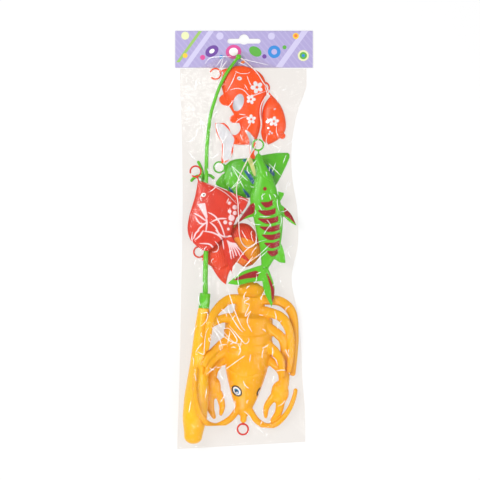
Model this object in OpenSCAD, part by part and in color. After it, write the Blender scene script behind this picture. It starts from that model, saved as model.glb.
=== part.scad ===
// Magnetic fishing game in its hanging bag: a rod with a hook on a line, five
// fish and a lobster, held flat in a clear film bag under a folded header card.
// Millimetres. The pack lies on its back on the plane z = 0, card towards +Y.

/* [Pack] */
// Length of the whole pack, from the foot of the bag to the fold of the card
pack_l = 504; // [490:1:540]
// Gap that neighbouring pieces keep where one lies on another
seat = 0.2; // [0.1:0.05:0.3]

/* [Header card] */
// Width of the header card
card_w = 165.6; // [162:0.2:190]
// Height of the folded card
card_h = 44.4; // [40:0.2:52]
// Thickness of the card stock
card_t = 0.5; // [0.3:0.05:0.8]
// Width of the hang hole over its two wings
hole_w = 40; // [34:0.5:46]
// Height of the wings of the hang hole
wing_h = 6; // [5:0.1:7.5]
// Diameter of the dome in the middle of the hang hole
dome_d = 12.5; // [10:0.1:14]
// Distance from the fold down to the middle of the dome
hole_drop = 10.5; // [9:0.1:14]

/* [Bag] */
// Thickness of the film, drawn thicker than the real foil
film_t = 0.3; // [0.2:0.05:0.5]
// Length of the welded strip across the foot
weld_l = 3; // [2:0.5:3.5]
// Slant of the foot across the bag
foot_slant = 9; // [0:0.5:12]
// How far the film laps over the card where the rod tip pushes it up
pouch_reach = 20; // [19.5:0.5:22]
// Half of the width of that lap
pouch_half_w = 56; // [40:1:66]

/* [Rod] */
// Length of the handle below its collar
handle_l = 163; // [150:1:164]
// Largest diameter of the handle
handle_d = 29.4; // [26:0.2:29.6]
// Diameter of the handle where it meets the collar
handle_top_d = 14.2; // [12:0.1:15]
// Wall of the blow moulded handle
handle_wall = 1.4; // [1:0.1:2]
// Diameter of the neck that goes up inside the collar
neck_d = 10; // [9:0.1:10.8]
// Length of the neck
neck_l = 9; // [6:0.5:11]
// Outer diameter of the collar
collar_d = 13.2; // [12.6:0.1:16]
// Length of the collar
collar_l = 18; // [15:0.5:22]
// Diameter of the shaft at its root
shaft_d = 6.6; // [5.6:0.1:7.2]
// Diameter of the shaft just below its knob
shaft_tip_d = 3.6; // [3:0.1:4.4]
// Diameter of the knob at the tip of the shaft
knob_d = 6.6; // [5.6:0.1:7]
// Clearance of a plugged joint, on each side
fit = 0.1; // [0.05:0.05:0.2]

/* [Line and hook] */
// Diameter of the fishing line
line_d = 1.4; // [1:0.1:1.8]
// Diameter of the prongs of the hook
prong_d = 4; // [3:0.1:4.6]
// Radius of the bend of each prong
prong_r = 7; // [5:0.5:8]
// Diameter of the hub of the hook
hub_d = 7; // [6:0.1:8]

/* [Fish] */
// Wall of the fish, which are shells open at the back
fish_wall = 1.4; // [1:0.1:2]
// Height of the middle of a fish over its rim
fish_rise = 8.5; // [7:0.1:10]
// Thickness of fins and tails
fin_t = 1.6; // [1:0.1:2.2]
// Radius of a nose ring, to the middle of its wire
ring_r = 6.4; // [5.6:0.1:7]
// Diameter of the wire of a nose ring
wire_d = 2.2; // [1.8:0.1:2.4]
// Length of the angelfish, from ring to tail tip
angel_l = 124; // [112:1:128]
// Width of the angelfish over its fins
angel_w = 80; // [70:1:82]
// Length of the green fish
green_l = 90; // [80:1:92]
// Length of the tropical fish
tropical_l = 95; // [84:1:98]
// Length of the orange fish, from ring to tail tip
orange_l = 108; // [98:1:112]
// Length of the second orange fish, as far as it shows
orange_b_l = 60; // [54:1:62]
// Length of the skeleton fish, from ring to tail tip
skeleton_l = 194; // [180:1:196]
// Depth of the painted fields between its ribs
field_depth = 1.2; // [0.8:0.1:1.6]
// Width of its ribs
rib_w = 3; // [2:0.1:4]

/* [Lobster] */
// Length of the body of the lobster
lobster_l = 161; // [148:1:166]
// Width of the body at the back of its head shell
lobster_w = 61; // [54:0.5:64]
// Height of the body
lobster_h = 26; // [22:0.5:28]
// Wall of the lobster, open at its back
lobster_wall = 1.6; // [1.2:0.1:2.4]
// Step at the edge of each plate of the tail
plate_step = 1; // [0.5:0.1:1.5]
// Diameter of the root of a feeler
feeler_d = 8; // [6.5:0.1:8.4]
// Diameter of the thick part of a leg
leg_d = 8; // [6:0.1:8.6]
// Length of the peg of the lobster's ring
peg_l = 6; // [4:0.5:7]
// Diameter of that peg
peg_d = 3; // [2.4:0.1:3.6]

/* [Hidden] */

// Ends of the pack
top_y = pack_l / 2;
foot_y = -pack_l / 2;
card_y = top_y - card_h;

// Level of the toys that lie on the back film
floor_z = film_t + seat;

// Films between the panels of the card: the back film lies on the back panel
film_gap = 0.2;
mouth_back_z = card_t + fit;
mouth_front_z = mouth_back_z + 2 * film_t + film_gap;
panel_z = mouth_front_z + fit;
card_top_z = panel_z + card_t;
mouth_y = top_y - hole_drop - dome_d / 2 - 2;

// The toys at the head of the pack keep their distance from the card, and those
// at its foot from the foot. Both are placed on a pack of the length drawn_l.
drawn_l = 504;
from_top = [0, (pack_l - drawn_l) / 2];
from_foot = -from_top;

// Rod: its axis lies a handle's radius over the back film and leans to the right
rod_z = floor_z + handle_d / 2;
rod_lean = 4.8;
rod_at = [-48, -81.6] + from_foot;
shaft_z = 9;
tip_at = [-6.5, 220] + from_top;
tip_z = 7;

// Layers of toys, from the back film up
ring_top = floor_z + wire_d;
orange_z = ring_top + seat;
angel_z = shaft_z + shaft_d / 2 + seat;
skeleton_z = angel_z + fish_rise * 0.29 + seat;

// Where each toy lies, at its nose ring, or at its snout for the lobster
angel_at = [-58, 82.2] + from_top;
skeleton_at = [16.8, 113.8] + from_top;
green_at = [-29.8, 87.6] + from_top;
tropical_at = [-54, -14.4] + from_top;
orange_at = [-34.3, 199.9] + from_top;
orange_b_at = [36, 144] + from_top;
lobster_at = [-0.4, -211] + from_foot;
lobster_lean = 3.3;

// Curves and lofts

// One knot of a list, where the ends count twice
function knot(k, i) = k[max(0, min(len(k) - 1, i))];
// Smooth curve through the knots of a list, at u from 0 to 1
function through(k, u) =
    let (n = len(k) - 1, v = u * n, i = min(n - 1, floor(v)), f = v - i)
    let (a = knot(k, i - 1), b = k[i], c = k[i + 1], d = knot(k, i + 2))
    0.5 * (2 * b + (c - a) * f + (2 * a - 5 * b + 4 * c - d) * f * f
        + (3 * b - a - 3 * c + d) * f * f * f);
// Points of that curve
function curve(k, steps) = [for (i = [0:steps]) through(k, i / steps)];
// Knots given as shares of a width and a length, nose at the top
function sized(k, w, l) = [for (p = k) [p[0] * w, -p[1] * l]];
// Smooth step from 0 to 1
function ease(t) = let (c = max(0, min(1, t))) c * c * (3 - 2 * c);

// Faces of a grid of points, as triangles, rows of n points, closed around
function tube_faces(rows, n) = [
    for (i = [0:rows - 2], j = [0:n - 1])
        let (a = i * n + j, b = i * n + (j + 1) % n)
        for (f = [[a, a + n, b + n], [a, b + n, b]]) f
];

// Round bar swept through points, with a diameter at each of them
module swept(path, diameters, sides) {
    n = len(path);
    function heading(i) =
        let (d = path[min(n - 1, i + 1)] - path[max(0, i - 1)]) d / norm(d);
    function across(i) = let (c = cross(heading(i), [0, 0, 1])) c / norm(c);
    points = [
        for (i = [0:n - 1], j = [0:sides - 1])
            let (s = across(i), u = cross(s, heading(i)), a = 360 * (j + 0.5) / sides)
            path[i] + diameters[i] / 2 * (cos(a) * s - sin(a) * u)
    ];
    polyhedron(points, concat(
        tube_faces(n, sides),
        [[for (j = [0:sides - 1]) j]],
        [[for (j = [sides - 1:-1:0]) (n - 1) * sides + j]]
    ), convexity = 6);
}

// Crowned solid over a flat underside. Each section is [left, right, height]:
// two points of the outline and the height of the arch between them.
module crowned(sections, steps) {
    n = len(sections);
    m = steps + 1;
    arch = 0.75;
    points = [
        for (s = sections, j = [0:steps])
            let (a = 180 * j / steps, p = (s[0] + s[1]) / 2 - (s[1] - s[0]) / 2 * cos(a))
            [p[0], p[1], s[2] * pow(sin(a), arch)]
    ];
    polyhedron(points, concat(
        [for (i = [0:n - 2], j = [0:steps - 1]) let (a = i * m + j)
            for (f = [[a, a + 1, a + m + 1], [a, a + m + 1, a + m]]) f],
        [for (i = [0:n - 2]) [i * m, (i + 1) * m, (i + 1) * m + steps, i * m + steps]],
        [[for (j = [steps:-1:0]) j]],
        [[for (j = [0:steps]) (n - 1) * m + j]]
    ), convexity = 4);
}

// Sections of a fish between its two outlines
function fish_sections(left, right, heights, steps, inset, from, to) = [
    for (i = [0:steps])
        let (u = from + (to - from) * i / steps, l = through(left, u), r = through(right, u))
        let (d = (r - l) / norm(r - l) * min(inset, norm(r - l) * 0.4))
        [l + d, r - d, through(heights, u) - inset]
];

// Shell of a fish: crowned outside, hollow behind, open at its flat rim. The
// hollow stops at a share of the length, hollow_end, or a hem before the tail.
module fish_shell(left, right, heights, steps = 12, hollow_end = 1) {
    difference() {
        crowned(fish_sections(left, right, heights, steps, 0, 0, 1), 8);
        fish_hollow(left, right, heights, steps - 2, fish_wall, hollow_end);
    }
}

// Hollow of a fish, a wall inside its outlines and below its crown
module fish_hollow(left, right, heights, steps, wall, hollow_end = 1) {
    hem = 1.5 * wall / norm(left[len(left) - 1] - left[0]);
    end = min(hollow_end, 1 - 3 * hem);
    translate([0, 0, -0.01])
        crowned(fish_sections(left, right, heights, steps, wall, hem, end), 8);
}

// Ring at the nose of a toy, with a stem to its body. The ring is open over a
// gap, an angle around gap_at, or closed where the gap is 0.
module nose_ring(gap_at, gap, stem_to) {
    reach = norm(stem_to);
    translate([0, 0, wire_d / 2]) {
        ring_bar(gap_at + gap / 2, 360 - gap);
        rotate([0, 0, atan2(stem_to[1], stem_to[0])])
            translate([ring_r - wire_d * 0.2, 0, 0])
                rotate([0, 90, 0])
                    cylinder(d = wire_d * 0.9, h = reach - ring_r, $fn = 8);
    }
}

// Round bar bent to a ring, or to a part of one, from the angle start
module ring_bar(start, turn) {
    n = 18;
    sides = 8;
    closed = turn == 360;
    points = [
        for (i = [0:n - 1], j = [0:sides - 1])
            let (a = start + turn * i / (closed ? n : n - 1), b = 360 * (j + 0.5) / sides)
            let (r = ring_r + wire_d / 2 * cos(b))
            [r * cos(a), r * sin(a), -wire_d / 2 * sin(b)]
    ];
    last = (n - 1) * sides;
    ends = closed
        ? [for (j = [0:sides - 1]) let (k = (j + 1) % sides)
            for (f = [[last + j, j, k], [last + j, k, last + k]]) f]
        : [[for (j = [0:sides - 1]) j], [for (j = [sides - 1:-1:0]) last + j]];
    polyhedron(points, concat(tube_faces(n, sides), ends), convexity = 4);
}

// Flat fin or tail between curves, each of which starts where the last one ends.
// It is set back a little from the rim.
module fin(curves, steps) {
    set_back = 0.1;
    points = [for (c = curves) let (p = curve(c, steps)) for (i = [0:steps - 1]) p[i]];
    last = curves[len(curves) - 1];
    ends_open = norm(last[len(last) - 1] - curves[0][0]) > 0.01;
    translate([0, 0, set_back])
        linear_extrude(fin_t - set_back)
            polygon(concat(points, ends_open ? [last[len(last) - 1]] : []));
}

// Header card, folded over the mouth of the bag
module header_card() {
    fold_r = card_top_z / 2;
    color("#A99CCB")
        difference() {
            rotate([90, 0, 90])
                translate([0, 0, -card_w / 2])
                    linear_extrude(card_w)
                        folded_profile(fold_r);
            translate([0, top_y - hole_drop, -1])
                linear_extrude(card_top_z + 2)
                    hang_hole();
        }
}

// Section of the folded card: two panels joined by a half round fold
module folded_profile(fold_r) {
    fold_y = top_y - fold_r;
    difference() {
        union() {
            translate([card_y, 0])
                square([fold_y - card_y, 2 * fold_r]);
            translate([fold_y, fold_r])
                circle(r = fold_r, $fn = 48);
        }
        translate([card_y - 1, card_t])
            square([fold_y - card_y + 1, 2 * (fold_r - card_t)]);
        translate([fold_y, fold_r])
            circle(r = fold_r - card_t, $fn = 48);
    }
}

// Hang hole: a round dome between two rounded wings
module hang_hole() {
    wing_y = -wing_h / 2 + 1;
    circle(d = dome_d, $fn = 48);
    translate([-hole_w / 2 + wing_h / 2, wing_y - wing_h / 2])
        square([hole_w - wing_h, wing_h]);
    for (side = [-1, 1])
        translate([side * (hole_w - wing_h) / 2, wing_y])
            circle(d = wing_h, $fn = 32);
}

// Film bag, one closed skin: outside and inside meet at the mouth, which the
// card pinches. Rows run from the foot to the mouth, columns around the bag.
bag_half = 12;
// Outline of the laid bag: share of its length from the foot, left and right edge
bag_left = [-81, -79.5, -78, -77, -76, -75, -74.5, -75, -76, -77.5];
bag_right = [74.5, 74, 71, 69.5, 65, 58, 65.5, 64.8, 58.5, 58.5, 66, 76];
// Height of the bag along the same length
bag_top = floor_z + handle_d + 7.5;
bag_heights = bag_top * [0.86, 1, 1, 0.93, 0.86, 0.80, 0.73, 0.71, 0.70, 0.66, 0.46, 0.36];
inner_y = foot_y + weld_l + 0.6;
body_top_y = card_y - 7;
bag_rows = 24;
// The film climbs from the weld over this length, and the slant fades out over the next
foot_run = 14;
slant_run = 100;
// Squareness of the arch over the toys
bag_square = 5;

function column_u(k) = k <= bag_half ? -cos(180 * k / bag_half) : cos(180 * (k - bag_half) / bag_half);
function bag_arch(u) = pow(max(0, 1 - pow(abs(u), bag_square)), 1 / bag_square);
// Point of the bag in a plain section: d is the depth into the film
function bag_point(y, left, right, top, k, d, slant) =
    let (u = column_u(k), s = bag_arch(u), front = k > 0 && k < bag_half)
    let (x = (left + right) / 2 + ((right - left) / 2 - d) * u)
    let (mid = max(top * 0.4, d + 0.05), under = mid - (mid - d) * 1.5 * s)
    [x, y + slant * (u + 1) / 2, front ? mid + (top - d - mid) * s : max(d, under)];
// Steep rise of the film beside the weld, from 0 to 1
function foot_rise(run) = let (t = min(1, run / foot_run)) sqrt(1 - (1 - t) * (1 - t));
function bag_row(y, d) =
    let (v = (y - foot_y) / (body_top_y - foot_y), run = y - inner_y)
    let (top = 2 * film_t + 1 + (through(bag_heights, v) - 2 * film_t - 1) * foot_rise(run))
    let (slant = foot_slant * (1 - ease(run / slant_run)))
    [for (k = [0:2 * bag_half - 1])
        bag_point(y, through(bag_left, v), through(bag_right, v), top, k, d, slant)];
// Rows of the weld: two films fused, without a hollow
function weld_row(y, height, slant) =
    [for (k = [0:2 * bag_half - 1]) bag_point(y, bag_left[0], bag_right[0], height, k, 0, slant)];

// Lap over the card. A column's share of the lap falls off to both sides.
function lap(x) = ease(1 - abs(x - tip_at[0]) / pouch_half_w);
lap_top = tip_z + knob_d / 2 + seat + film_t + 0.2;
lap_low = card_top_z + 3 * fit;
function mouth_x(k, d) =
    let (w = (card_w - 10) / 2) (w - d) * column_u(k);
function front_point(row, k, d) =
    let (x = mouth_x(k, d), w = lap(x), reach = 0.3 + (pouch_reach - 0.3) * w)
    let (high = lap_low + 2 * film_t + 0.4 + (lap_top - lap_low - 2 * film_t - 0.4) * w)
    let (edge = card_y - fit - 0.1 - d)
    row == 0 ? [x, card_y + 0.8 * reach - d / 2, high - d]
    : row == 1 ? [x, card_y + reach - d, (high + lap_low) / 2]
    : row == 2 ? [x, card_y + 0.8 * reach - d / 2, lap_low + d]
    : row == 3 ? [x, edge, lap_low + d]
    : row == 4 ? [x, edge, mouth_front_z - d]
    : [x, mouth_y, mouth_front_z - d];
function back_point(row, k, d) =
    let (x = mouth_x(k, d), rise = mouth_back_z)
    row == 5 ? [x, mouth_y, rise + d]
    : [x, card_y - 5.1 + row * 1.1, rise * ease((row + 1) / 5) + d];
function end_point(row, k, d) =
    let (p = front_point(row, k, d))
    row < 4 ? p : [p[0], p[1], (mouth_front_z + mouth_back_z) / 2];
function mouth_row(row, d) = [
    for (k = [0:2 * bag_half - 1])
        k == 0 || k == bag_half ? end_point(row, k, d)
        : k < bag_half ? front_point(row, k, d) : back_point(row, k, d)
];

// Rows of one skin, from the inner side of the weld to the mouth
function skin(d) = concat(
    [for (i = [0:bag_rows])
        bag_row(inner_y + (body_top_y - inner_y) * ease(i / bag_rows), d)],
    [for (row = [0:5]) mouth_row(row, d)]
);

module poly_bag() {
    n = 2 * bag_half;
    outer = concat(
        [weld_row(foot_y, 2 * film_t, foot_slant), weld_row(foot_y + weld_l, 2 * film_t, foot_slant)],
        [for (r = skin(0)) r]
    );
    inner = skin(film_t);
    ro = len(outer);
    ri = len(inner);
    points = [for (r = concat(outer, inner), p = r) p];
    inner_faces = [for (f = tube_faces(ri, n)) [ro * n + f[2], ro * n + f[1], ro * n + f[0]]];
    rim = [for (j = [0:n - 1])
        let (a = (ro - 1) * n + j, b = (ro - 1) * n + (j + 1) % n)
        let (c = (ro + ri - 1) * n + j, e = (ro + ri - 1) * n + (j + 1) % n)
        for (f = [[a, c, e], [a, e, b]]) f];
    color("#F2F2F6", 0.4)
        polyhedron(points, concat(
            tube_faces(ro, n), inner_faces, rim,
            [[for (j = [0:n - 1]) j]],
            [[for (j = [n - 1:-1:0]) ro * n + j]]
        ), convexity = 8);
}

// Frame of the rod: its axis is the local Z, up to the tip, zero under the collar
module on_rod() {
    translate([rod_at[0], rod_at[1], rod_z])
        rotate([0, 0, -rod_lean])
            rotate([-90, 0, 0])
                children();
}

// Radii of the handle from the collar to its round end
handle_shape = [0, 0.22, 0.38, 0.52, 0.78, 1, 0.97, 0.5];
function handle_r(u, inset) =
    (handle_top_d + (handle_d - handle_top_d) * min(1, through(handle_shape, u))) / 2 - inset;
// Half of the profile of the handle, with its end as a quarter of an ellipse
function handle_profile(inset) =
    let (end_l = handle_d * 0.3, body_l = handle_l - end_l, end_r = handle_r(1, inset))
    concat(
        [for (i = [0:14]) [handle_r(i / 14, inset), -body_l * i / 14]],
        [for (a = [15:15:90]) [end_r * cos(a), -body_l - (end_l - inset) * sin(a)]]
    );

module rod_handle() {
    bore_d = neck_d - 2 * handle_wall;
    color("#FFC20E")
        on_rod()
            difference() {
                union() {
                    rotate_extrude($fn = 48)
                        polygon(concat([[0, 0]], handle_profile(0)));
                    translate([0, 0, -1])
                        cylinder(d = neck_d, h = neck_l + 1, $fn = 48);
                }
                rotate_extrude($fn = 48)
                    polygon(concat([[0, -3], [bore_d / 2, -3]],
                        [for (p = handle_profile(handle_wall)) if (p[1] < -4) p]));
                translate([0, 0, -4])
                    cylinder(d = bore_d, h = neck_l + 5, $fn = 48);
            }
}

module rod_collar() {
    lip = 0.8;
    color("#43B02A")
        on_rod()
            difference() {
                translate([0, 0, fit])
                    rotate_extrude($fn = 48)
                        polygon([
                            [0, 0], [collar_d / 2, 0], [collar_d / 2, collar_l - lip],
                            [collar_d / 2 - lip, collar_l], [0, collar_l]
                        ]);
                translate([0, 0, -1])
                    cylinder(d = neck_d + 2 * fit, h = neck_l + 1 + 2 * fit, $fn = 48);
                cylinder(d = shaft_d + 2 * fit, h = collar_l + 1, $fn = 48);
            }
}

// Middle line of the shaft, bent in the bag: it leaves the collar on its axis.
// Its bends are shares of the way from the collar to the tip.
shaft_root_s = neck_l + 2;
function on_axis(s) = [rod_at[0] + s * sin(rod_lean), rod_at[1] + s * cos(rod_lean), rod_z];
shaft_bends = [
    [-46.4, 0.111, rod_z - 1.4], [-46, 0.184, shaft_z + 1.4], [-45, 0.310, shaft_z],
    [-45.4, 0.483, shaft_z], [-44.6, 0.629, 8.6], [-42.6, 0.705, 8], [-39.4, 0.778, 8],
    [-30, 0.874, 9.4], [-21, 0.934, 9.8], [-13.6, 0.970, 8.4]
];
function bend_at(b) = [b[0], rod_at[1] + (tip_at[1] - rod_at[1]) * b[1], b[2]];
shaft_path = concat(
    curve([on_axis(shaft_root_s), on_axis(collar_l + fit + 1)], 1),
    curve(concat(
        [on_axis(collar_l + 3)],
        [for (b = shaft_bends) bend_at(b)],
        [[tip_at[0] - 2.6, tip_at[1] - 3, tip_z + 0.5]]
    ), 26)
);
function shaft_size(t) = shaft_d + (shaft_tip_d - shaft_d) * pow(t, 0.8);

module rod_shaft() {
    n = len(shaft_path);
    heading = [2.6, 3, -0.5] / norm([2.6, 3, -0.5]);
    tip = [tip_at[0], tip_at[1], tip_z];
    knob = [for (a = [-60:30:90]) [tip + heading * knob_d / 2 * sin(a), max(0.5, knob_d * cos(a))]];
    path = concat(shaft_path, [for (k = knob) k[0]]);
    sizes = concat([for (i = [0:n - 1]) shaft_size(i / (n - 1))], [for (k = knob) k[1]]);
    color("#43B02A")
        swept(path, sizes, 12);
}

// Route of the line, from the knob of the rod over the toys to the hook, on a
// pack of the drawn length
line_route = [
    [-3.6, 218.4, 7.6], [3.4, 213, 7], [11, 206, 7], [17, 199, 9], [22.8, 189.6, 10],
    [27.6, 183, 10.2], [29.4, 177, 10.6], [25, 170.4, 11], [20.6, 162, 11], [19.4, 152, 10.8],
    [20.6, 138, 12], [19, 127, 16], [17.4, 121.2, 19], [15, 116, 19.2], [11.6, 108.6, 18.8],
    [6.4, 100.4, 14.6], [0, 88, 12.4], [-5.6, 75.8, 11], [-8.4, 66, 12], [-9, 56.4, 15.2],
    [-7.4, 45, 16], [-6.8, 34, 17], [-6.4, 27, 18.2], [-6.2, 20, 18.2], [-5.9, 12, 15],
    [-5.2, 5, 11.4], [-2.4, -3.6, 10.4], [4, -9, 10.6], [12, -6, 10.4], [15, 3, 9.6],
    [13, 14, 8.8], [6, 24, 8.4], [-5, 33, 7], [-18, 40, 5], [-30, 45.6, 3.2], [-38, 50, 3],
    [-44, 54.6, 4], [-48.4, 58.7, 6], [-50.4, 60.6, 5.2], [-52.6, 62.6, 2.6]
];

module fishing_line() {
    path = curve([for (p = line_route) p + concat(from_top, 0)], 76);
    color("#F2D8D8")
        swept(path, [for (p = path) line_d], 6);
}

// Hook with three bent prongs around a hub, and a shank with an eye for the line
hook_at = [-49.4, 76.2] + from_top;
shank_l = 12;
shank_turn = -8;
prongs = [
    [[0, 0.1, 0], [-0.15, 1, 0], [-0.45, 1.85, 0.05], [-0.86, 2.65, 0.2]],
    [[-0.1, 0, 0], [-0.85, 0.12, 0], [-1.5, -0.2, 0.1], [-2.05, -0.8, 0.25]],
    [[0.1, 0, 0], [0.75, 0.25, -0.1], [1.35, 0.15, -0.18], [1.9, -0.3, -0.18]]
];

module line_hook() {
    eye_r = line_d * 2;
    color("#43B02A")
        translate([hook_at[0], hook_at[1], floor_z + hub_d / 2]) {
            sphere(d = hub_d, $fn = 16);
            for (k = prongs) {
                path = curve([for (p = k) p * prong_r], 4);
                for (i = [0:3])
                    hull()
                        for (p = [path[i], path[i + 1]])
                            translate(p)
                                sphere(d = prong_d, $fn = 8);
            }
            rotate([90, 0, shank_turn])
                cylinder(d = prong_d, h = shank_l, $fn = 12);
            rotate([0, 0, shank_turn])
                translate([0, -shank_l - eye_r, 0])
                    rotate_extrude($fn = 20)
                        translate([eye_r + line_d * 0.2, 0])
                            circle(d = line_d * 1.2, $fn = 8);
        }
}

// Angelfish: a round shell with a fin on its back and a forked tail
angel_low = [
    [0.03, 0.10], [-0.01, 0.24], [-0.10, 0.44], [-0.12, 0.58], [-0.04, 0.69], [0.18, 0.77], [0.38, 0.65]
];
angel_high = [
    [0.06, 0.09], [0.25, 0.13], [0.45, 0.19], [0.59, 0.29], [0.62, 0.42], [0.57, 0.52], [0.52, 0.62]
];
angel_heights = fish_rise * [0.3, 0.62, 0.88, 1, 0.95, 0.75, 0.35];
angel_back_fin = [
    [[0.34, 0.15], [0.57, 0.21], [0.80, 0.27]],
    [[0.80, 0.27], [0.74, 0.36], [0.60, 0.45], [0.5, 0.4]]
];
angel_tail = [
    [[0.39, 0.62], [0.42, 0.78], [0.55, 1]],
    [[0.55, 1], [0.60, 0.82], [0.88, 0.915]],
    [[0.88, 0.915], [0.66, 0.74], [0.52, 0.60]]
];

module angelfish() {
    color("#E5452F")
        translate([angel_at[0], angel_at[1], angel_z]) {
            nose_ring(215, 40, [0.055 * angel_w, -0.115 * angel_l]);
            fish_shell(
                sized(angel_low, angel_w, angel_l), sized(angel_high, angel_w, angel_l), angel_heights,
                hollow_end = 0.8
            );
            fin([for (k = angel_back_fin) sized(k, angel_w, angel_l)], 6);
            fin([for (k = angel_tail) sized(k, angel_w, angel_l)], 6);
        }
}

// Green fish: a low shell with a tall fin and tail behind its head
green_w_share = 0.70;
green_top = [[0.08, -0.04], [0.16, -0.13], [0.31, -0.17], [0.51, -0.15], [0.67, -0.06], [0.76, 0.03]];
green_low = [[0.075, 0.06], [0.05, 0.31], [0.16, 0.50], [0.36, 0.59], [0.56, 0.50], [0.72, 0.24]];
green_heights = fish_rise * [0.3, 0.7, 0.9, 0.9, 0.75, 0.4];
green_fin = [
    [[0.20, -0.12], [0.45, -0.20], [0.75, -0.275], [0.92, -0.28]],
    [[0.92, -0.28], [0.945, -0.20], [0.87, 0.05], [0.75, 0.36], [0.66, 0.36]]
];
green_belly_fin = [[[0.04, 0.13], [-0.05, 0.29], [-0.02, 0.36], [0.12, 0.44]]];

module green_fish() {
    w = green_l;
    l = green_l * green_w_share;
    color("#4DBB1A")
        translate([green_at[0], green_at[1], floor_z]) {
            nose_ring(0, 0, [0.1 * w, -0.01 * l]);
            fish_shell(sized(green_low, w, l), sized(green_top, w, l), green_heights);
            fin([for (k = green_fin) sized(k, w, l)], 7);
            fin([for (k = green_belly_fin) sized(k, w, l)], 6);
        }
}

// Tropical fish, nose to the left, with a long belly fin
tropical_w_share = 0.8;
tropical_top = [
    [0.05, 0.08], [0.12, -0.08], [0.26, -0.30], [0.46, -0.44], [0.62, -0.44], [0.74, -0.28],
    [0.80, -0.16]
];
tropical_low = [
    [0.03, 0.13], [0.16, 0.23], [0.29, 0.27], [0.45, 0.16], [0.58, 0.24], [0.72, 0.16],
    [0.80, -0.02]
];
tropical_heights = fish_rise * [0.3, 0.6, 0.85, 0.95, 0.95, 0.8, 0.35];
tropical_belly_fin = [
    [[0.13, 0.19], [0.25, 0.42], [0.34, 0.52]],
    [[0.34, 0.52], [0.38, 0.33], [0.48, 0.15]]
];
tropical_tail = [
    [[0.79, -0.16], [0.88, -0.26], [0.99, -0.30]],
    [[0.99, -0.30], [0.93, -0.12], [1, 0.06]],
    [[1, 0.06], [0.88, 0.04], [0.79, -0.02]]
];

module tropical_fish() {
    w = tropical_l;
    l = tropical_l * tropical_w_share;
    color("#EA5A3A")
        translate([tropical_at[0], tropical_at[1], floor_z]) {
            nose_ring(0, 0, [0.06 * w, -0.11 * l]);
            fish_shell(sized(tropical_low, w, l), sized(tropical_top, w, l), tropical_heights);
            fin([for (k = tropical_belly_fin) sized(k, w, l)], 6);
            fin([for (k = tropical_tail) sized(k, w, l)], 4);
        }
}

// Orange fish: a fat rounded body, two stubby fins, a silver tail to the left
orange_w_share = 0.58;
orange_left = [
    [0.15, -0.03], [0.11, 0.12], [0.19, 0.28], [0.32, 0.42], [0.43, 0.52], [0.48, 0.60],
    [0.45, 0.65], [0.37, 0.69]
];
orange_right = [
    [0.19, -0.06], [0.53, -0.09], [0.88, 0.00], [0.99, 0.18], [0.90, 0.37], [0.87, 0.57],
    [0.74, 0.77], [0.39, 0.79]
];
orange_heights = fish_rise * [0.35, 0.7, 0.95, 1, 1, 0.95, 0.8, 0.35];
orange_tail = [
    [[-0.01, 0.55], [0.02, 0.66], [0.12, 0.79], [0.105, 1]],
    [[0.105, 1], [0.22, 0.98], [0.315, 0.92]],
    [[0.315, 0.92], [0.345, 0.84], [0.40, 0.79], [0.40, 0.69]],
    [[0.40, 0.69], [0.33, 0.72], [0.26, 0.60], [0.17, 0.545], [-0.01, 0.55]]
];
orange_belly_fin = [
    [[0.573, 0.636], [0.644, 0.74], [0.655, 0.84], [0.663, 0.935]],
    [[0.663, 0.935], [0.74, 0.95], [0.816, 0.94]],
    [[0.816, 0.94], [0.745, 0.895], [0.778, 0.807], [0.759, 0.737], [0.70, 0.66]]
];
orange_stubs = [
    [[0.20, 0.22], [0.08, 0.25], [0.06, 0.30], [0.13, 0.345], [0.26, 0.36]],
    [[0.36, 0.45], [0.29, 0.475], [0.27, 0.505], [0.32, 0.545], [0.48, 0.55]]
];

module orange_fish_a() {
    w = orange_l * orange_w_share;
    l = orange_l;
    color("#FF5A1F")
        translate([orange_at[0], orange_at[1], orange_z]) {
            nose_ring(190, 70, [0.17 * w, 0.045 * l]);
            fish_shell(sized(orange_left, w, l), sized(orange_right, w, l), orange_heights, 14);
            for (k = orange_stubs)
                fin([sized(k, w, l)], 8);
            fin([for (k = orange_tail) sized(k, w, l)], 6);
            fin([for (k = orange_belly_fin) sized(k, w, l)], 4);
        }
}

// Second orange fish, beside the first, with its ring under the rim of the first
orange_b_left = [
    [-0.07, 0.49], [-0.17, 0.32], [-0.21, 0.14], [-0.21, -0.10], [-0.24, -0.26], [-0.20, -0.44]
];
orange_b_right = [
    [-0.03, 0.50], [0.12, 0.33], [0.22, 0.09], [0.235, -0.18], [0.09, -0.38], [-0.13, -0.50]
];
orange_b_heights = fish_rise * [0.3, 0.75, 0.95, 0.95, 0.8, 0.4];

module orange_fish_b() {
    l = orange_b_l;
    color("#FF5A1F")
        translate([orange_b_at[0], orange_b_at[1], floor_z]) {
            translate([-0.20 * l, 0.66 * l, 0])
                nose_ring(0, 0, [0.15 * l, -0.165 * l]);
            fish_shell(
                [for (p = orange_b_left) p * l], [for (p = orange_b_right) p * l], orange_b_heights
            );
            translate([0.17 * l, -0.31 * l, 0])
                cylinder(r = 0.065 * l, h = fin_t * 1.5, $fn = 32);
        }
}

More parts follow.
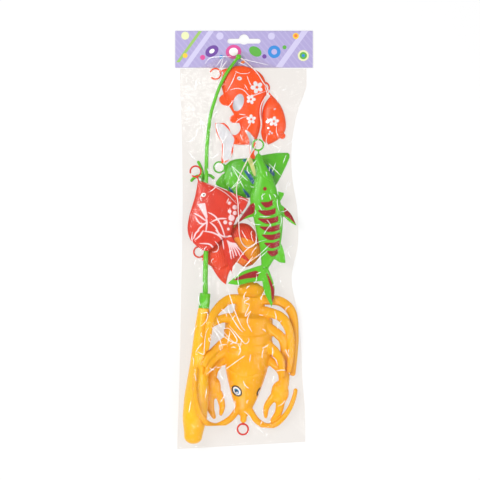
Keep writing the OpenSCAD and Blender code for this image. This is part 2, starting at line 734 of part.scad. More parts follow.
// Skeleton fish: a long shell with fields sunk between its ribs, fins and tail
skeleton_w_share = 0.43;
skeleton_left = [
    [-0.02, 0.055], [-0.05, 0.09], [-0.02, 0.15], [-0.05, 0.225], [-0.115, 0.325],
    [-0.09, 0.40], [-0.03, 0.525], [0.03, 0.65], [0.05, 0.77]
];
skeleton_right = [
    [0.035, 0.055], [0.07, 0.09], [0.145, 0.15], [0.22, 0.21], [0.30, 0.32],
    [0.35, 0.41], [0.35, 0.53], [0.30, 0.645], [0.14, 0.77]
];
skeleton_heights = fish_rise * [0.3, 0.5, 0.8, 0.95, 1, 1, 0.9, 0.7, 0.4];
skeleton_jaw = [[0.20, 0.24], [0.26, 0.28], [0.375, 0.295], [0.36, 0.32], [0.30, 0.36]];
skeleton_fins = [
    [
        [-0.05, 0.32], [-0.14, 0.38], [-0.27, 0.46], [-0.37, 0.52], [-0.26, 0.475],
        [-0.17, 0.455], [-0.04, 0.44]
    ],
    [
        [0.31, 0.36], [0.38, 0.385], [0.48, 0.43], [0.555, 0.50], [0.45, 0.475],
        [0.36, 0.44], [0.31, 0.43]
    ],
    [[0.28, 0.59], [0.345, 0.62], [0.385, 0.68], [0.395, 0.73], [0.31, 0.725], [0.20, 0.70]]
];
skeleton_tail = [
    [[0.05, 0.74], [-0.10, 0.76], [-0.26, 0.79], [-0.44, 0.855]],
    [[-0.44, 0.855], [-0.28, 0.865], [-0.12, 0.85], [0.06, 0.84]],
    [[0.06, 0.84], [0.09, 0.91], [0.195, 1]],
    [[0.195, 1], [0.235, 0.93], [0.23, 0.86], [0.14, 0.75]]
];
rib_count = 7;

// Fields between the ribs, sagging like smiles, cut down into the crown
module rib_fields(left, right) {
    l = skeleton_l;
    w = skeleton_l * skeleton_w_share;
    spine_w = 0.11 * w;
    rail_w = 0.04 * w;
    pitch = 0.05 * l;
    field_w = pitch - rib_w;
    sag = 3;
    for (i = [0:rib_count - 1]) {
        y = -0.355 * l - pitch * i;
        u = (-y / l - 0.06) / 0.71;
        x_from = through(left, u)[0] + spine_w;
        x_to = through(right, u)[0] - rail_w;
        smile = [for (t = [0:0.25:1]) [x_from + (x_to - x_from) * t, y - sag * sin(180 * t)]];
        translate([0, 0, fish_rise * 0.3])
            linear_extrude(fish_rise)
                polygon(concat(
                    [for (p = smile) p + [0, field_w / 2]],
                    [for (k = [4:-1:0]) smile[k] - [0, field_w / 2 * (1 - 0.2 * abs(k - 2))]]
                ));
    }
}

module skeleton_fish() {
    w = skeleton_l * skeleton_w_share;
    l = skeleton_l;
    left = sized(skeleton_left, w, l);
    right = sized(skeleton_right, w, l);
    crown = fish_sections(left, right, skeleton_heights, 14, 0, 0, 1);
    color("#4FD321")
        translate([skeleton_at[0], skeleton_at[1], skeleton_z]) {
            nose_ring(0, 0, [0.01 * w, -0.06 * l]);
            difference() {
                crowned(crown, 8);
                difference() {
                    rib_fields(left, right);
                    translate([0, 0, -field_depth])
                        crowned(crown, 8);
                }
                fish_hollow(left, right, skeleton_heights, 12, fish_wall + field_depth);
            }
            fin([sized(skeleton_jaw, w, l)], 6);
            for (k = skeleton_fins)
                fin([sized(k, w, l)], 10);
            fin([for (k = skeleton_tail) sized(k, w, l)], 5);
        }
}

// Lobster, snout at its origin, tail up. Sections are shares of its length from
// the snout with half width and height as shares of its width and height.
head_shape = [
    [0, 0.20, 0.28], [0.06, 0.34, 0.42], [0.125, 0.49, 0.55], [0.19, 0.60, 0.66], [0.25, 0.70, 0.78],
    [0.33, 0.81, 0.90], [0.40, 0.91, 0.97], [0.475, 1, 1]
];
tail_shape = [[0.475, 0.98, 0.97], [0.60, 0.98, 0.95], [0.745, 0.90, 0.80], [0.885, 0.70, 0.52]];
plate_ends = [0.475, 0.535, 0.60, 0.745, 0.885];
function lobster_section(p, grow) =
    let (w = p[1] * lobster_w / 2 + grow, y = p[0] * lobster_l)
    [[w, y], [-w, y], p[2] * lobster_h + grow];
// Share, half width and height of the tail at a share of the length
function tail_at(v) = through(tail_shape, (v - 0.475) / 0.41);
lobster_sections = concat(
    [for (p = curve(head_shape, 9)) lobster_section(p, 0)],
    [for (i = [0:3], t = [0.02, 0.5, 0.98])
        let (v = plate_ends[i] + (plate_ends[i + 1] - plate_ends[i]) * t, p = tail_at(v))
        lobster_section([v, p[1], p[2]], -plate_step * (1 - t))]
);

// Feelers, legs and claw arms: knots from the snout, on a lobster of the drawn
// width, length and height
lobster_drawn = [61, 161, 26];
lobster_k = [lobster_w / lobster_drawn[0], lobster_l / lobster_drawn[1], lobster_h / lobster_drawn[2]];
function on_lobster(p) = [for (i = [0:len(p) - 1]) p[i] * lobster_k[i]];
feelers = [
    [
        [-6, 10, 5], [-15, -4, 5], [-29, -13, 10], [-38, -12.5, 20], [-45, -8, 28], [-52, 2, 32],
        [-56.5, 13, 33], [-59.5, 26, 32.6], [-60.5, 40, 30.9], [-60, 54, 29.4]
    ],
    [
        [7, 7, 5], [16, -5, 5], [28, -11, 5], [39, -8, 6], [48, 1, 8], [55.5, 14, 9],
        [59.5, 27, 8], [60.5, 34, 7]
    ]
];
legs = [
    [[-10, 139, 7], [-26, 138, 10], [-40, 125, 20], [-46.5, 110, 27], [-48, 94, 28], [-49, 79, 27]],
    [[-17, 117, 12], [-33, 115, 18], [-44, 108, 26]],
    [[-19, 94, 12], [-36, 80, 17], [-47, 68, 25], [-50, 60, 28]],
    [[-20, 80, 10], [-36, 70, 16], [-44, 60, 23], [-47, 50, 27.4]],
    [[10, 140, 7], [34, 140, 7], [48, 131, 6], [54, 116, 5], [56.5, 84, 5], [56, 54, 5]],
    [[17, 127, 11], [38, 121, 14], [49, 104, 13], [52, 80, 12], [51, 58, 11]],
    [[20, 110, 12], [40, 96, 10], [45, 76, 7], [46, 60, 5]],
    [[20, 90, 12], [36, 76, 16], [42, 64, 16], [43, 52, 15]]
];
arms = [
    [[-18, 72, 8], [-30, 65, 7], [-39, 54, 6], [-41.5, 42, 5.5], [-40.5, 31, 4.8]],
    [[18, 72, 8], [34, 65, 7], [44, 54, 6], [46, 42, 5.5], [43, 30, 4.8]]
];
// Claws: middle, then knots of the outer and of the inner finger
claws = [
    [[-40, 30], [[-42, 20], [-40.5, 6], [-36, -4]], [[-34, 24], [-31, 10], [-31.5, -1]]],
    [[42, 29], [[43.5, 20], [42, 6], [35, -4]], [[34, 24], [27.5, 12], [27.5, -1]]]
];
claw_h = 7;

module limb(knots, root_d, tip_d, steps) {
    path = curve([for (p = knots) on_lobster(p)], steps);
    swept(path, [for (i = [0:steps]) root_d + (tip_d - root_d) * pow(i / steps, 1.4)], 8);
}

module claw(parts) {
    palm = on_lobster(parts[0]);
    fingers = [for (f = [parts[1], parts[2]]) [for (p = f) on_lobster(p)]];
    hull() {
        translate([palm[0], palm[1], claw_h / 2])
            scale([1.2, 1, 0.6])
                sphere(d = 13, $fn = 12);
        for (finger = fingers)
            translate([finger[0][0], finger[0][1], claw_h / 2])
                sphere(d = claw_h, $fn = 10);
    }
    for (finger = fingers)
        for (i = [0:1])
            hull()
                for (j = [i, i + 1])
                    translate([finger[j][0], finger[j][1], claw_h / 2])
                        sphere(d = claw_h * (1 - 0.2 * j), $fn = 10);
}

module tail_fan() {
    start = 0.87 * lobster_l;
    root_h = 8;
    for (turn = [-34, -17, 0, 17, 34])
        translate([0, start, -1])
            rotate([0, 0, turn])
                hull()
                    for (t = [0, 1]) {
                        h = root_h - 2 * t + abs(turn) * 0.02;
                        translate([0, 0.07 * lobster_l * t + 4, 0])
                            cylinder(d1 = 12 + 2 * t, d2 = 7, h = h, $fn = 10);
                    }
}

// Stem at the snout, with a socket for the peg of the ring
stem_l = 9;
stem_d = 8;

// The lobster is drawn a little below its rim and cut off flat there
module lobster() {
    below = 0.7;
    color("#F7B515")
        translate([lobster_at[0], lobster_at[1], floor_z])
            rotate([0, 0, -lobster_lean])
                difference() {
                    union() {
                        translate([0, 0, -below])
                            crowned(lobster_sections, 10);
                        tail_fan();
                        for (k = feelers)
                            limb(k, feeler_d, 3.6, 13);
                        for (k = legs)
                            limb(k, leg_d, 5, 7);
                        for (k = arms)
                            limb(k, leg_d * 1.1, leg_d * 1.15, 6);
                        for (c = claws)
                            claw(c);
                        translate([0, 3, stem_d / 2])
                            rotate([90, 0, 0])
                                cylinder(d = stem_d, h = stem_l + 3, $fn = 24);
                    }
                    translate([0, 0, -2 * below])
                        lobster_hollow();
                    translate([0, -stem_l - 1, stem_d / 2])
                        rotate([-90, 0, 0])
                            cylinder(d = peg_d + 2 * fit, h = peg_l + 1 + fit, $fn = 24);
                    translate([-lobster_l, -lobster_l, -50])
                        cube([2 * lobster_l, 3 * lobster_l, 50]);
                }
}

// Hollow of the body, open at the back
module lobster_hollow() {
    head = [for (i = [2, 4, 6]) head_shape[i]];
    tail = [for (v = [0.6, 0.73, 0.85]) [v, tail_at(v)[1], tail_at(v)[2]]];
    crowned([for (p = concat(head, tail)) lobster_section(p, -lobster_wall - plate_step)], 9);
}

// Red ring of the lobster, with a peg that plugs into the stem
module lobster_ring() {
    color("#E03A2A")
        translate([lobster_at[0], lobster_at[1], floor_z])
            rotate([0, 0, -lobster_lean])
                translate([0, -stem_l - fit, stem_d / 2]) {
                    translate([0, -ring_r - wire_d / 2, 0])
                        rotate_extrude($fn = 48)
                            translate([ring_r, 0])
                                circle(d = wire_d, $fn = 24);
                    translate([0, -wire_d / 2, 0])
                        rotate([-90, 0, 0])
                            cylinder(d = peg_d, h = peg_l + wire_d / 2, $fn = 32);
                }
}

header_card();
poly_bag();
rod_handle();
rod_collar();
rod_shaft();
fishing_line();
line_hook();
lobster();
lobster_ring();
skeleton_fish();
angelfish();
tropical_fish();
green_fish();
orange_fish_a();
orange_fish_b();
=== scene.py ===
"""Magnetic fishing game in its hanging bag, dressed for rendering.

The pack lies on its back: a folded header card, a clear film bag, a toy rod with
its line and hook, six fish and a lobster. Lengths are in millimetres until a
mesh is made, and every piece stands in the frame of the solids, card towards +Y.
"""
from __future__ import annotations

import logging
import math
from collections.abc import Sequence
from dataclasses import dataclass, field
from enum import Enum

import bmesh
import bpy
import numpy as np
from bpy.types import Material, Mesh, Node, NodeTree, Object
from mathutils import Matrix

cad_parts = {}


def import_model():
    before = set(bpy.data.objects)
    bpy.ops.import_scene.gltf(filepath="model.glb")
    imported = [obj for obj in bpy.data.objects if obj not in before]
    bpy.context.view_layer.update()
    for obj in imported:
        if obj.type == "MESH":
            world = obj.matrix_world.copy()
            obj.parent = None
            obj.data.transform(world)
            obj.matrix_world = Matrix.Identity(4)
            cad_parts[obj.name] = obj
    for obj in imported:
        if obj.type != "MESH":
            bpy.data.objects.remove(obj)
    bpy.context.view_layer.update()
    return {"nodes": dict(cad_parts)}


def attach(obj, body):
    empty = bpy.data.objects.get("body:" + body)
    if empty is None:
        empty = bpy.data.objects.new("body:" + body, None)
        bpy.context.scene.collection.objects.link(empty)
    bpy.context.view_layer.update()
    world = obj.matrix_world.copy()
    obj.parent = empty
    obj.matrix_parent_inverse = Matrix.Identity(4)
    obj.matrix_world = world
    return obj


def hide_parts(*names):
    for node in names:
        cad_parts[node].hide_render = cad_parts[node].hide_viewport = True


log = logging.getLogger("fishing_game")
Array = np.ndarray
Knots = Sequence[Sequence[float]]

MM = 0.001
UP = np.array([0.0, 0.0, 1.0])
WHITE = "#FFFFFF"

# Levels and places of the solids, in millimetres
FLOOR_Z = 0.5
TOP_Y = 252.0
FOOT_Y = -252.0
CARD_W = 165.6
CARD_Y = 207.6
CARD_TOP_Z = 2.0
SHAFT_Z = 9.0
ORANGE_Z = 2.9
ANGEL_Z = 12.5
SKELETON_Z = 15.165
FISH_RISE = 8.5
FISH_WALL = 1.4
FIN_T = 1.6
RING_R = 6.4
WIRE_D = 2.2


class Slot(Enum):
    """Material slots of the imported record."""

    CARD = "card"
    FILM = "film"
    YELLOW = "yellow_plastic"
    GREEN = "green_rod_plastic"
    LINE = "line"
    AMBER = "amber_plastic"
    RED = "red_plastic"
    LIME = "lime_plastic"
    CORAL = "coral_plastic"
    LEAF = "leaf_plastic"
    ORANGE = "orange_plastic"


# Curves and surfaces, as whole arrays


def linear(hex_colour: str, alpha: float = 1.0) -> tuple[float, float, float, float]:
    """Linear colour of an sRGB hex value.

    Args:
        hex_colour: six hex digits after a hash sign.
        alpha: fourth value of the result.

    Returns:
        Red, green, blue and alpha, from 0 to 1.
    """
    values = [int(hex_colour[i : i + 2], 16) / 255 for i in (1, 3, 5)]
    r, g, b = (v / 12.92 if v <= 0.04045 else ((v + 0.055) / 1.055) ** 2.4 for v in values)
    return r, g, b, alpha


def steps(count: int) -> Array:
    """Even steps from 0 to 1, both ends in."""
    return np.linspace(0.0, 1.0, count)


def angles(count: int) -> Array:
    """Even angles once around, the last one short of the first."""
    return np.linspace(0.0, 2 * math.pi, count, endpoint=False)


def cos_sin(degrees: float) -> tuple[float, float]:
    """Cosine and sine of an angle in degrees."""
    return math.cos(math.radians(degrees)), math.sin(math.radians(degrees))


def ease(t: Array) -> Array:
    """Smooth step: 3 t squared less 2 t cubed, with t held in 0 to 1."""
    c = np.clip(t, 0.0, 1.0)
    return c * c * (3.0 - 2.0 * c)


def spline(knots: Knots, t: Array) -> Array:
    """Points of the cubic that passes through its knots, with the end knots doubled.

    Args:
        knots: at least two knots, each of the same length.
        t: places from 0 to 1, spread evenly over the knots.

    Returns:
        One row per place.
    """
    k = np.asarray(knots, dtype=float)
    n = len(k) - 1
    v = np.clip(t, 0.0, 1.0) * n
    i = np.minimum(v.astype(int), n - 1)
    f = (v - i)[:, None]
    a, b, c, d = k[np.maximum(i - 1, 0)], k[i], k[i + 1], k[np.minimum(i + 2, n)]
    turn = (2 * a - 5 * b + 4 * c - d) * f + (3 * b - a - 3 * c + d) * f * f
    return 0.5 * (2 * b + (c - a) * f + turn * f)


def resampled(points: Array, step: float) -> Array:
    """Same polyline with points an even step apart, by its running length.

    Args:
        points: polyline (n, 2) or (n, 3).
        step: spacing of the new points.

    Returns:
        The new points.
    """
    run = np.concatenate([[0.0], np.cumsum(np.linalg.norm(np.diff(points, axis=0), axis=1))])
    s = np.linspace(0.0, run[-1], max(2, int(run[-1] / step) + 1))
    return np.stack([np.interp(s, run, points[:, i]) for i in range(points.shape[1])], axis=1)


def noise(x: Array, y: Array, cell: float, seed: int) -> Array:
    """Smooth value noise from -1 to 1: random corners of square cells, eased between.

    Args:
        x: places across.
        y: places along.
        cell: side of a cell, in the unit of x and y.
        seed: seed of the random corners.

    Returns:
        One value per place.
    """
    grid = np.random.default_rng(seed).uniform(-1.0, 1.0, (256, 256))
    u, v = x / cell + 1000.0, y / cell + 1000.0
    i, j = np.floor(u).astype(int), np.floor(v).astype(int)
    fu, fv = ease(u - i), ease(v - j)
    a, b = grid[i % 256, j % 256], grid[(i + 1) % 256, j % 256]
    c, d = grid[i % 256, (j + 1) % 256], grid[(i + 1) % 256, (j + 1) % 256]
    return (a * (1 - fu) + b * fu) * (1 - fv) + (c * (1 - fu) + d * fu) * fv


@dataclass(frozen=True)
class Patch:
    """Points in millimetres and four-cornered faces over them."""

    points: Array
    faces: Array

    def moved(self, at: Sequence[float], turn: float = 0.0) -> Patch:
        """Copy turned by an angle in degrees about Z, then moved.

        Args:
            at: its way in millimetres.
            turn: its turn in degrees.

        Returns:
            The copy.
        """
        c, s = cos_sin(turn)
        spin = np.array([[c, s, 0.0], [-s, c, 0.0], [0.0, 0.0, 1.0]])
        return Patch(self.points @ spin + np.asarray(at, dtype=float), self.faces)

    def scaled(self, size: Sequence[float] | float) -> Patch:
        """Copy grown by one factor, or by one for each axis."""
        return Patch(self.points * np.asarray(size, dtype=float), self.faces)


def joined(patches: Sequence[Patch]) -> Patch:
    """All patches as one, their faces shifted past the points before them.

    Args:
        patches: patches that become one.

    Returns:
        The one patch.
    """
    starts = np.cumsum([0] + [len(p.points) for p in patches[:-1]])
    faces = [p.faces + s for p, s in zip(patches, starts)]
    return Patch(np.concatenate([p.points for p in patches]), np.concatenate(faces))


def grid_faces(rows: int, columns: int, around: bool = False) -> Array:
    """Faces of a grid of points, rows of columns, closed around if asked.

    Args:
        rows: rows of points.
        columns: points in a row.
        around: whether each row closes on itself.

    Returns:
        Four point numbers a face.
    """
    last = columns if around else columns - 1
    i, j = np.meshgrid(np.arange(rows - 1), np.arange(last), indexing="ij")
    a, b = i * columns + j, i * columns + (j + 1) % columns
    return np.stack([a, b, b + columns, a + columns], axis=-1).reshape(-1, 4)


def sheet_patch(grid: Array) -> Patch:
    """Open patch over a grid of points (rows, columns, 3)."""
    rows, columns, _ = grid.shape
    return Patch(grid.reshape(-1, 3), grid_faces(rows, columns))


def closed_patch(front: Array, back: Array) -> Patch:
    """Closed body between two grids of one size, joined along all four borders.

    Args:
        front: grid (rows, columns, 3) whose faces look out as they are listed.
        back: grid of the other side, whose faces are turned round.

    Returns:
        One closed patch.
    """
    rows, columns, _ = front.shape
    n = rows * columns
    inside = grid_faces(rows, columns)
    index = np.arange(n).reshape(rows, columns)
    border = np.concatenate(
        [index[0, :-1], index[:-1, -1], index[-1, :0:-1], index[:0:-1, 0]]
    )
    after = np.roll(border, -1)
    rim = np.stack([border, border + n, after + n, after], axis=-1)
    faces = np.concatenate([inside, inside[:, ::-1] + n, rim])
    return Patch(np.concatenate([front.reshape(-1, 3), back.reshape(-1, 3)]), faces)


def tube(path: Array, radius: Array | float, sides: int, flat: float = 1.0) -> Patch:
    """Round bar along a path, with a half ball at either end.

    Each ring stands across the path: a side vector, the cross product of the
    heading with Z, and an up vector across both.

    Args:
        path: points (n, 3).
        radius: one radius, or one for each point.
        sides: points around the bar.
        flat: height of the section as a share of its width.

    Returns:
        One closed patch.
    """
    r = np.broadcast_to(np.asarray(radius, dtype=float), (len(path),))
    heading = np.gradient(path, axis=0)
    heading /= np.linalg.norm(heading, axis=1, keepdims=True)
    cap = np.radians(np.array([90.0, 65.0, 40.0, 18.0]))
    first = path[0] - heading[0] * r[0] * np.sin(cap)[:, None]
    last = path[-1] + heading[-1] * r[-1] * np.sin(cap[::-1])[:, None]
    centre = np.concatenate([first, path, last])
    size = np.concatenate([r[0] * np.cos(cap), r, r[-1] * np.cos(cap[::-1])])
    ahead = np.concatenate([np.repeat(heading[:1], 4, 0), heading, np.repeat(heading[-1:], 4, 0)])
    side = np.cross(ahead, UP)
    side /= np.linalg.norm(side, axis=1, keepdims=True)
    up = np.cross(side, ahead)
    angle = angles(sides)
    ring = side[:, None] * np.cos(angle)[:, None] + flat * up[:, None] * np.sin(angle)[:, None]
    points = centre[:, None] + size[:, None, None] * ring
    faces = grid_faces(len(centre), sides, around=True)[:, ::-1]
    return Patch(points.reshape(-1, 3), faces)


def hoop(radius: float, wire: float, start: float = 0.0, turn: float = 360.0) -> Patch:
    """Ring of round wire flat about Z, or a part of one, angles in degrees.

    Args:
        radius: radius of the wire's middle line.
        wire: its diameter.
        start: angle at which it starts.
        turn: how far it runs round.

    Returns:
        One closed patch.
    """
    a = np.radians(start + np.linspace(0.0, turn, 73))
    circle = np.stack([radius * np.cos(a), radius * np.sin(a), np.zeros_like(a)], axis=1)
    if turn < 360.0:
        return tube(circle, wire / 2, 14)
    b = np.linspace(0.0, 2 * math.pi, 15)
    r = radius + wire / 2 * np.cos(b)
    x, y = r[None] * np.cos(a)[:, None], r[None] * np.sin(a)[:, None]
    z = np.broadcast_to(wire / 2 * np.sin(b), x.shape)
    return Patch(np.stack([x, y, z], axis=-1).reshape(-1, 3), grid_faces(73, 15)[:, ::-1])


def turned(profile: Array, sides: int) -> Patch:
    """Body of revolution about Z of a profile of radius and height, top first.

    Args:
        profile: radius and height of each ring (n, 2).
        sides: points around.

    Returns:
        The body.
    """
    a = angles(sides)
    x = profile[:, :1] * np.cos(a)
    y = profile[:, :1] * np.sin(a)
    z = np.broadcast_to(profile[:, 1:], x.shape)
    points = np.stack([x, y, z], axis=-1).reshape(-1, 3)
    return Patch(points, grid_faces(len(profile), sides, around=True)[:, ::-1])


def ball(rows: int, sides: int) -> Patch:
    """Ball of radius 1 about the origin, from pole to pole."""
    a = np.linspace(math.pi / 2, -math.pi / 2, rows)
    return turned(np.stack([np.cos(a), np.sin(a)], axis=1), sides)


# Meshes and objects


def mesh_of(name: str, patch: Patch) -> Mesh:
    """Mesh in metres of a patch, its doubled points merged so that it closes.

    Args:
        name: name of the mesh.
        patch: its points and faces.

    Returns:
        The mesh. One that closes has its faces turned out.
    """
    mesh = bpy.data.meshes.new(name)
    mesh.from_pydata((patch.points * MM).tolist(), [], patch.faces.tolist())
    work = bmesh.new()
    work.from_mesh(mesh)
    bmesh.ops.remove_doubles(work, verts=work.verts, dist=2e-7)
    closed = all(len(edge.link_faces) == 2 for edge in work.edges)
    if closed and work.calc_volume(signed=True) < 0.0:
        bmesh.ops.reverse_faces(work, faces=work.faces)
    work.to_mesh(mesh)
    work.free()
    mesh.validate()
    mesh.shade_smooth()
    return mesh


def points_of(mesh: Mesh) -> Array:
    """Points of a mesh in millimetres, as an array (n, 3).

    Args:
        mesh: mesh in metres.

    Returns:
        The points.
    """
    flat = np.empty(len(mesh.vertices) * 3, dtype=np.float32)
    mesh.vertices.foreach_get("co", flat)
    return flat.reshape(-1, 3).astype(float) / MM


def set_points(mesh: Mesh, points: Array) -> None:
    """Puts points in millimetres into a mesh."""
    mesh.vertices.foreach_set("co", (points * MM).astype(np.float32).ravel())
    mesh.update()


def normals_of(mesh: Mesh) -> Array:
    """Vertex normals of a mesh, as an array (n, 3).

    Args:
        mesh: the mesh.

    Returns:
        The normals, in the order of its points.
    """
    flat = np.empty(len(mesh.vertices) * 3, dtype=np.float32)
    mesh.vertex_normals.foreach_get("vector", flat)
    return flat.reshape(-1, 3).astype(float)


def evaluated(obj: Object) -> Mesh:
    """New mesh of an object with its modifiers applied; the object is removed.

    Args:
        obj: object that is given up.

    Returns:
        Its mesh.
    """
    graph = bpy.context.evaluated_depsgraph_get()
    mesh = bpy.data.meshes.new_from_object(obj.evaluated_get(graph), depsgraph=graph)
    old = obj.data
    bpy.data.objects.remove(obj)
    bpy.data.meshes.remove(old)
    return mesh


def scene_object(name: str, mesh: Mesh) -> Object:
    """Object of a mesh at the origin, linked to the scene.

    Args:
        name: name of the object and its mesh.
        mesh: its mesh.

    Returns:
        The object.
    """
    mesh.name = name
    obj = bpy.data.objects.new(name, mesh)
    bpy.context.scene.collection.objects.link(obj)
    return obj


def fused(name: str, patches: Sequence[Patch], voxel: float, smoothing: int) -> Mesh:
    """Closed patches melted into one moulding with soft inner corners.

    Args:
        name: name of the mesh.
        patches: closed patches that overlap.
        voxel: grid size in millimetres.
        smoothing: rounds of smoothing after it.

    Returns:
        The mesh, in metres.
    """
    obj = scene_object(name, mesh_of(name, joined(patches)))
    melt = obj.modifiers.new("melt", "REMESH")
    melt.mode = "VOXEL"
    melt.voxel_size = voxel * MM
    melt.use_smooth_shade = True
    soft = obj.modifiers.new("soft", "SMOOTH")
    soft.factor = 0.5
    soft.iterations = smoothing
    mesh = evaluated(obj)
    mesh.shade_smooth()
    return mesh


def carved(mesh: Mesh, tool: Patch) -> Mesh:
    """Mesh with the room of a closed patch cut out of it.

    Args:
        mesh: mesh that is cut.
        tool: closed patch of the room.

    Returns:
        The mesh that is left.
    """
    body = scene_object("carved", mesh)
    knife = scene_object("knife", mesh_of("knife", tool))
    cut = body.modifiers.new("cut", "BOOLEAN")
    cut.operation = "DIFFERENCE"
    cut.solver = "EXACT"
    cut.object = knife
    result = evaluated(body)
    old = knife.data
    bpy.data.objects.remove(knife)
    bpy.data.meshes.remove(old)
    result.shade_smooth()
    return result


# Prints, worked out as covers over places seen from above


# EDGE is how wide a print fades at its edge, and FAR is past every print
EDGE = 0.5
FAR = 1e6


class Print:
    """A printed shape: how much of it covers each place, from 0 to 1."""

    colour: str
    foil: float

    def cover(self, x: Array, y: Array) -> Array:
        """Cover at places in millimetres."""
        raise NotImplementedError


@dataclass(frozen=True)
class Spot(Print):
    """Ellipse, turned by degrees."""

    at: tuple[float, float]
    size: tuple[float, float]
    colour: str
    foil: float = 0.0
    turn: float = 0.0

    def cover(self, x: Array, y: Array) -> Array:
        """Full where the scaled distance from the middle is below 1.

        Args:
            x: places across, in millimetres.
            y: places along.

        Returns:
            The cover of each place.
        """
        c, s = cos_sin(self.turn)
        u, v = x - self.at[0], y - self.at[1]
        a, b = (u * c + v * s) / self.size[0], (v * c - u * s) / self.size[1]
        return ease((1.0 - np.hypot(a, b)) * min(self.size) / EDGE + 0.5)


def to_segment(x: Array, y: Array, p: Array, q: Array) -> tuple[Array, Array]:
    """How far places lie from the straight line between two points.

    Args:
        x: places across.
        y: places along.
        p: first point of the line.
        q: its last point.

    Returns:
        The distances, and the shares of the line at which the nearest points lie.
    """
    d = q - p
    t = np.clip(((x - p[0]) * d[0] + (y - p[1]) * d[1]) / max(d @ d, 1e-9), 0.0, 1.0)
    return np.hypot(x - p[0] - t * d[0], y - p[1] - t * d[1]), t


@dataclass(frozen=True)
class Stroke(Print):
    """Line of one width through knots, tapering to its ends."""

    knots: tuple[tuple[float, float], ...]
    width: float
    colour: str
    foil: float = 0.0
    taper: float = 0.6

    def cover(self, x: Array, y: Array) -> Array:
        """Full where the nearest point of the line is within half its width.

        Args:
            x: places across, in millimetres.
            y: places along.

        Returns:
            The cover of each place.
        """
        line = spline(self.knots, np.linspace(0.0, 1.0, 8 * len(self.knots)))
        best = np.full(x.shape, FAR)
        for i, (p, q) in enumerate(zip(line[:-1], line[1:])):
            gap, t = to_segment(x, y, p, q)
            share = (i + t) / (len(line) - 1)
            half = self.width / 2 * (1.0 - self.taper * np.abs(2 * share - 1.0) ** 3)
            best = np.minimum(best, gap - half)
        return ease(0.5 - best / EDGE)


@dataclass(frozen=True)
class Field(Print):
    """Filled outline through corners, rounded where asked."""

    corners: tuple[tuple[float, float], ...]
    colour: str
    foil: float = 0.0
    rounded: bool = True

    def cover(self, x: Array, y: Array) -> Array:
        """Full inside by the crossing rule, faded over the edge by the distance to it.

        Args:
            x: places across, in millimetres.
            y: places along.

        Returns:
            The cover of each place.
        """
        k = np.array(self.corners)
        if self.rounded:
            n = len(k)
            wrapped = np.concatenate([k[-1:], k, k[:2]])
            line = spline(wrapped, np.linspace(1 / (n + 2), (n + 1) / (n + 2), 8 * n + 1))
        else:
            line = np.concatenate([k, k[:1]])
        inside = np.zeros(x.shape, dtype=bool)
        best = np.full(x.shape, FAR)
        for p, q in zip(line[:-1], line[1:]):
            crosses = (p[1] > y) != (q[1] > y)
            run = (q[0] - p[0]) * (y - p[1]) / (q[1] - p[1] + 1e-12) + p[0]
            inside ^= crosses & (x < run)
            best = np.minimum(best, to_segment(x, y, p, q)[0])
        return ease(np.where(inside, best, -best) / EDGE + 0.5)


def flower(at: tuple[float, float], radius: float, turn: float) -> list[Print]:
    """Silver flower of five petals around an open middle.

    Args:
        at: its middle.
        radius: its radius.
        turn: its turn in degrees.

    Returns:
        Its petals.
    """
    petals: list[Print] = []
    for i in range(5):
        c, s = cos_sin(turn + 72 * i)
        centre = (at[0] + 0.62 * radius * c, at[1] + 0.62 * radius * s)
        size = (radius * 0.42, radius * 0.34)
        petals.append(Spot(centre, size, PETAL, 1.0, turn + 72 * i))
    return petals


def printed(mesh: Mesh, prints: Sequence[Print], from_below: float = 0.25) -> None:
    """Puts prints into a mesh as its ink and foil attributes.

    Args:
        mesh: mesh that is printed on, where it looks up.
        prints: printed shapes, later ones over earlier ones.
        from_below: lowest Z of a normal that takes print.
    """
    p = points_of(mesh)
    looks_up = ease((normals_of(mesh)[:, 2] - from_below) / 0.2)
    ink = np.zeros((len(p), 4))
    foil = np.zeros(len(p))
    for shape in prints:
        cover = shape.cover(p[:, 0], p[:, 1]) * looks_up
        colour = np.array(linear(shape.colour))
        total = np.maximum(ink[:, 3] + cover * (1 - ink[:, 3]), 1e-6)
        share = (cover / total)[:, None]
        ink[:, :3] = ink[:, :3] * (1 - share) + colour[:3] * share
        ink[:, 3] = total
        foil = foil * (1 - cover) + shape.foil * cover
    ink[:, 3] = np.where(ink[:, 3] < 1e-4, 0.0, ink[:, 3])
    mesh.attributes.new("ink", "FLOAT_COLOR", "POINT").data.foreach_set("color", ink.ravel())
    mesh.attributes.new("foil", "FLOAT", "POINT").data.foreach_set("value", foil)


# Materials


def add_node(
    tree: NodeTree, kind: str, settings: dict | None = None, links: dict | None = None
) -> Node:
    """Adds a shader node with its settings and its incoming links.

    Args:
        tree: node tree that it joins.
        kind: name of the node's type, after the word ShaderNode.
        settings: properties by name, or values of inputs by name or number.
        links: sockets, or nodes for their first output, by the input that they feed.

    Returns:
        The node.
    """
    node = tree.nodes.new(f"ShaderNode{kind}")
    for key, value in (settings or {}).items():
        if isinstance(key, str) and hasattr(node, key):
            setattr(node, key, value)
        else:
            node.inputs[key].default_value = value
    for key, source in (links or {}).items():
        socket = source.outputs[0] if isinstance(source, Node) else source
        tree.links.new(socket, node.inputs[key])
    return node


def per_metre(size_mm: float) -> float:
    """Scale of a pattern whose grain is so many millimetres, on metres."""
    return 1.0 / (size_mm * MM)


def seen(tree: NodeTree) -> Node:
    """Node that gives 1 to rays from the camera, mirrors and glass, and otherwise 0.

    Args:
        tree: tree that the nodes join.

    Returns:
        The node.
    """
    ray = add_node(tree, "LightPath").outputs
    eye = {0: ray["Is Camera Ray"], 1: ray["Is Transmission Ray"]}
    first = add_node(tree, "Math", {"operation": "MAXIMUM"}, eye)
    return add_node(tree, "Math", {"operation": "MAXIMUM"}, {0: first, 1: ray["Is Glossy Ray"]})


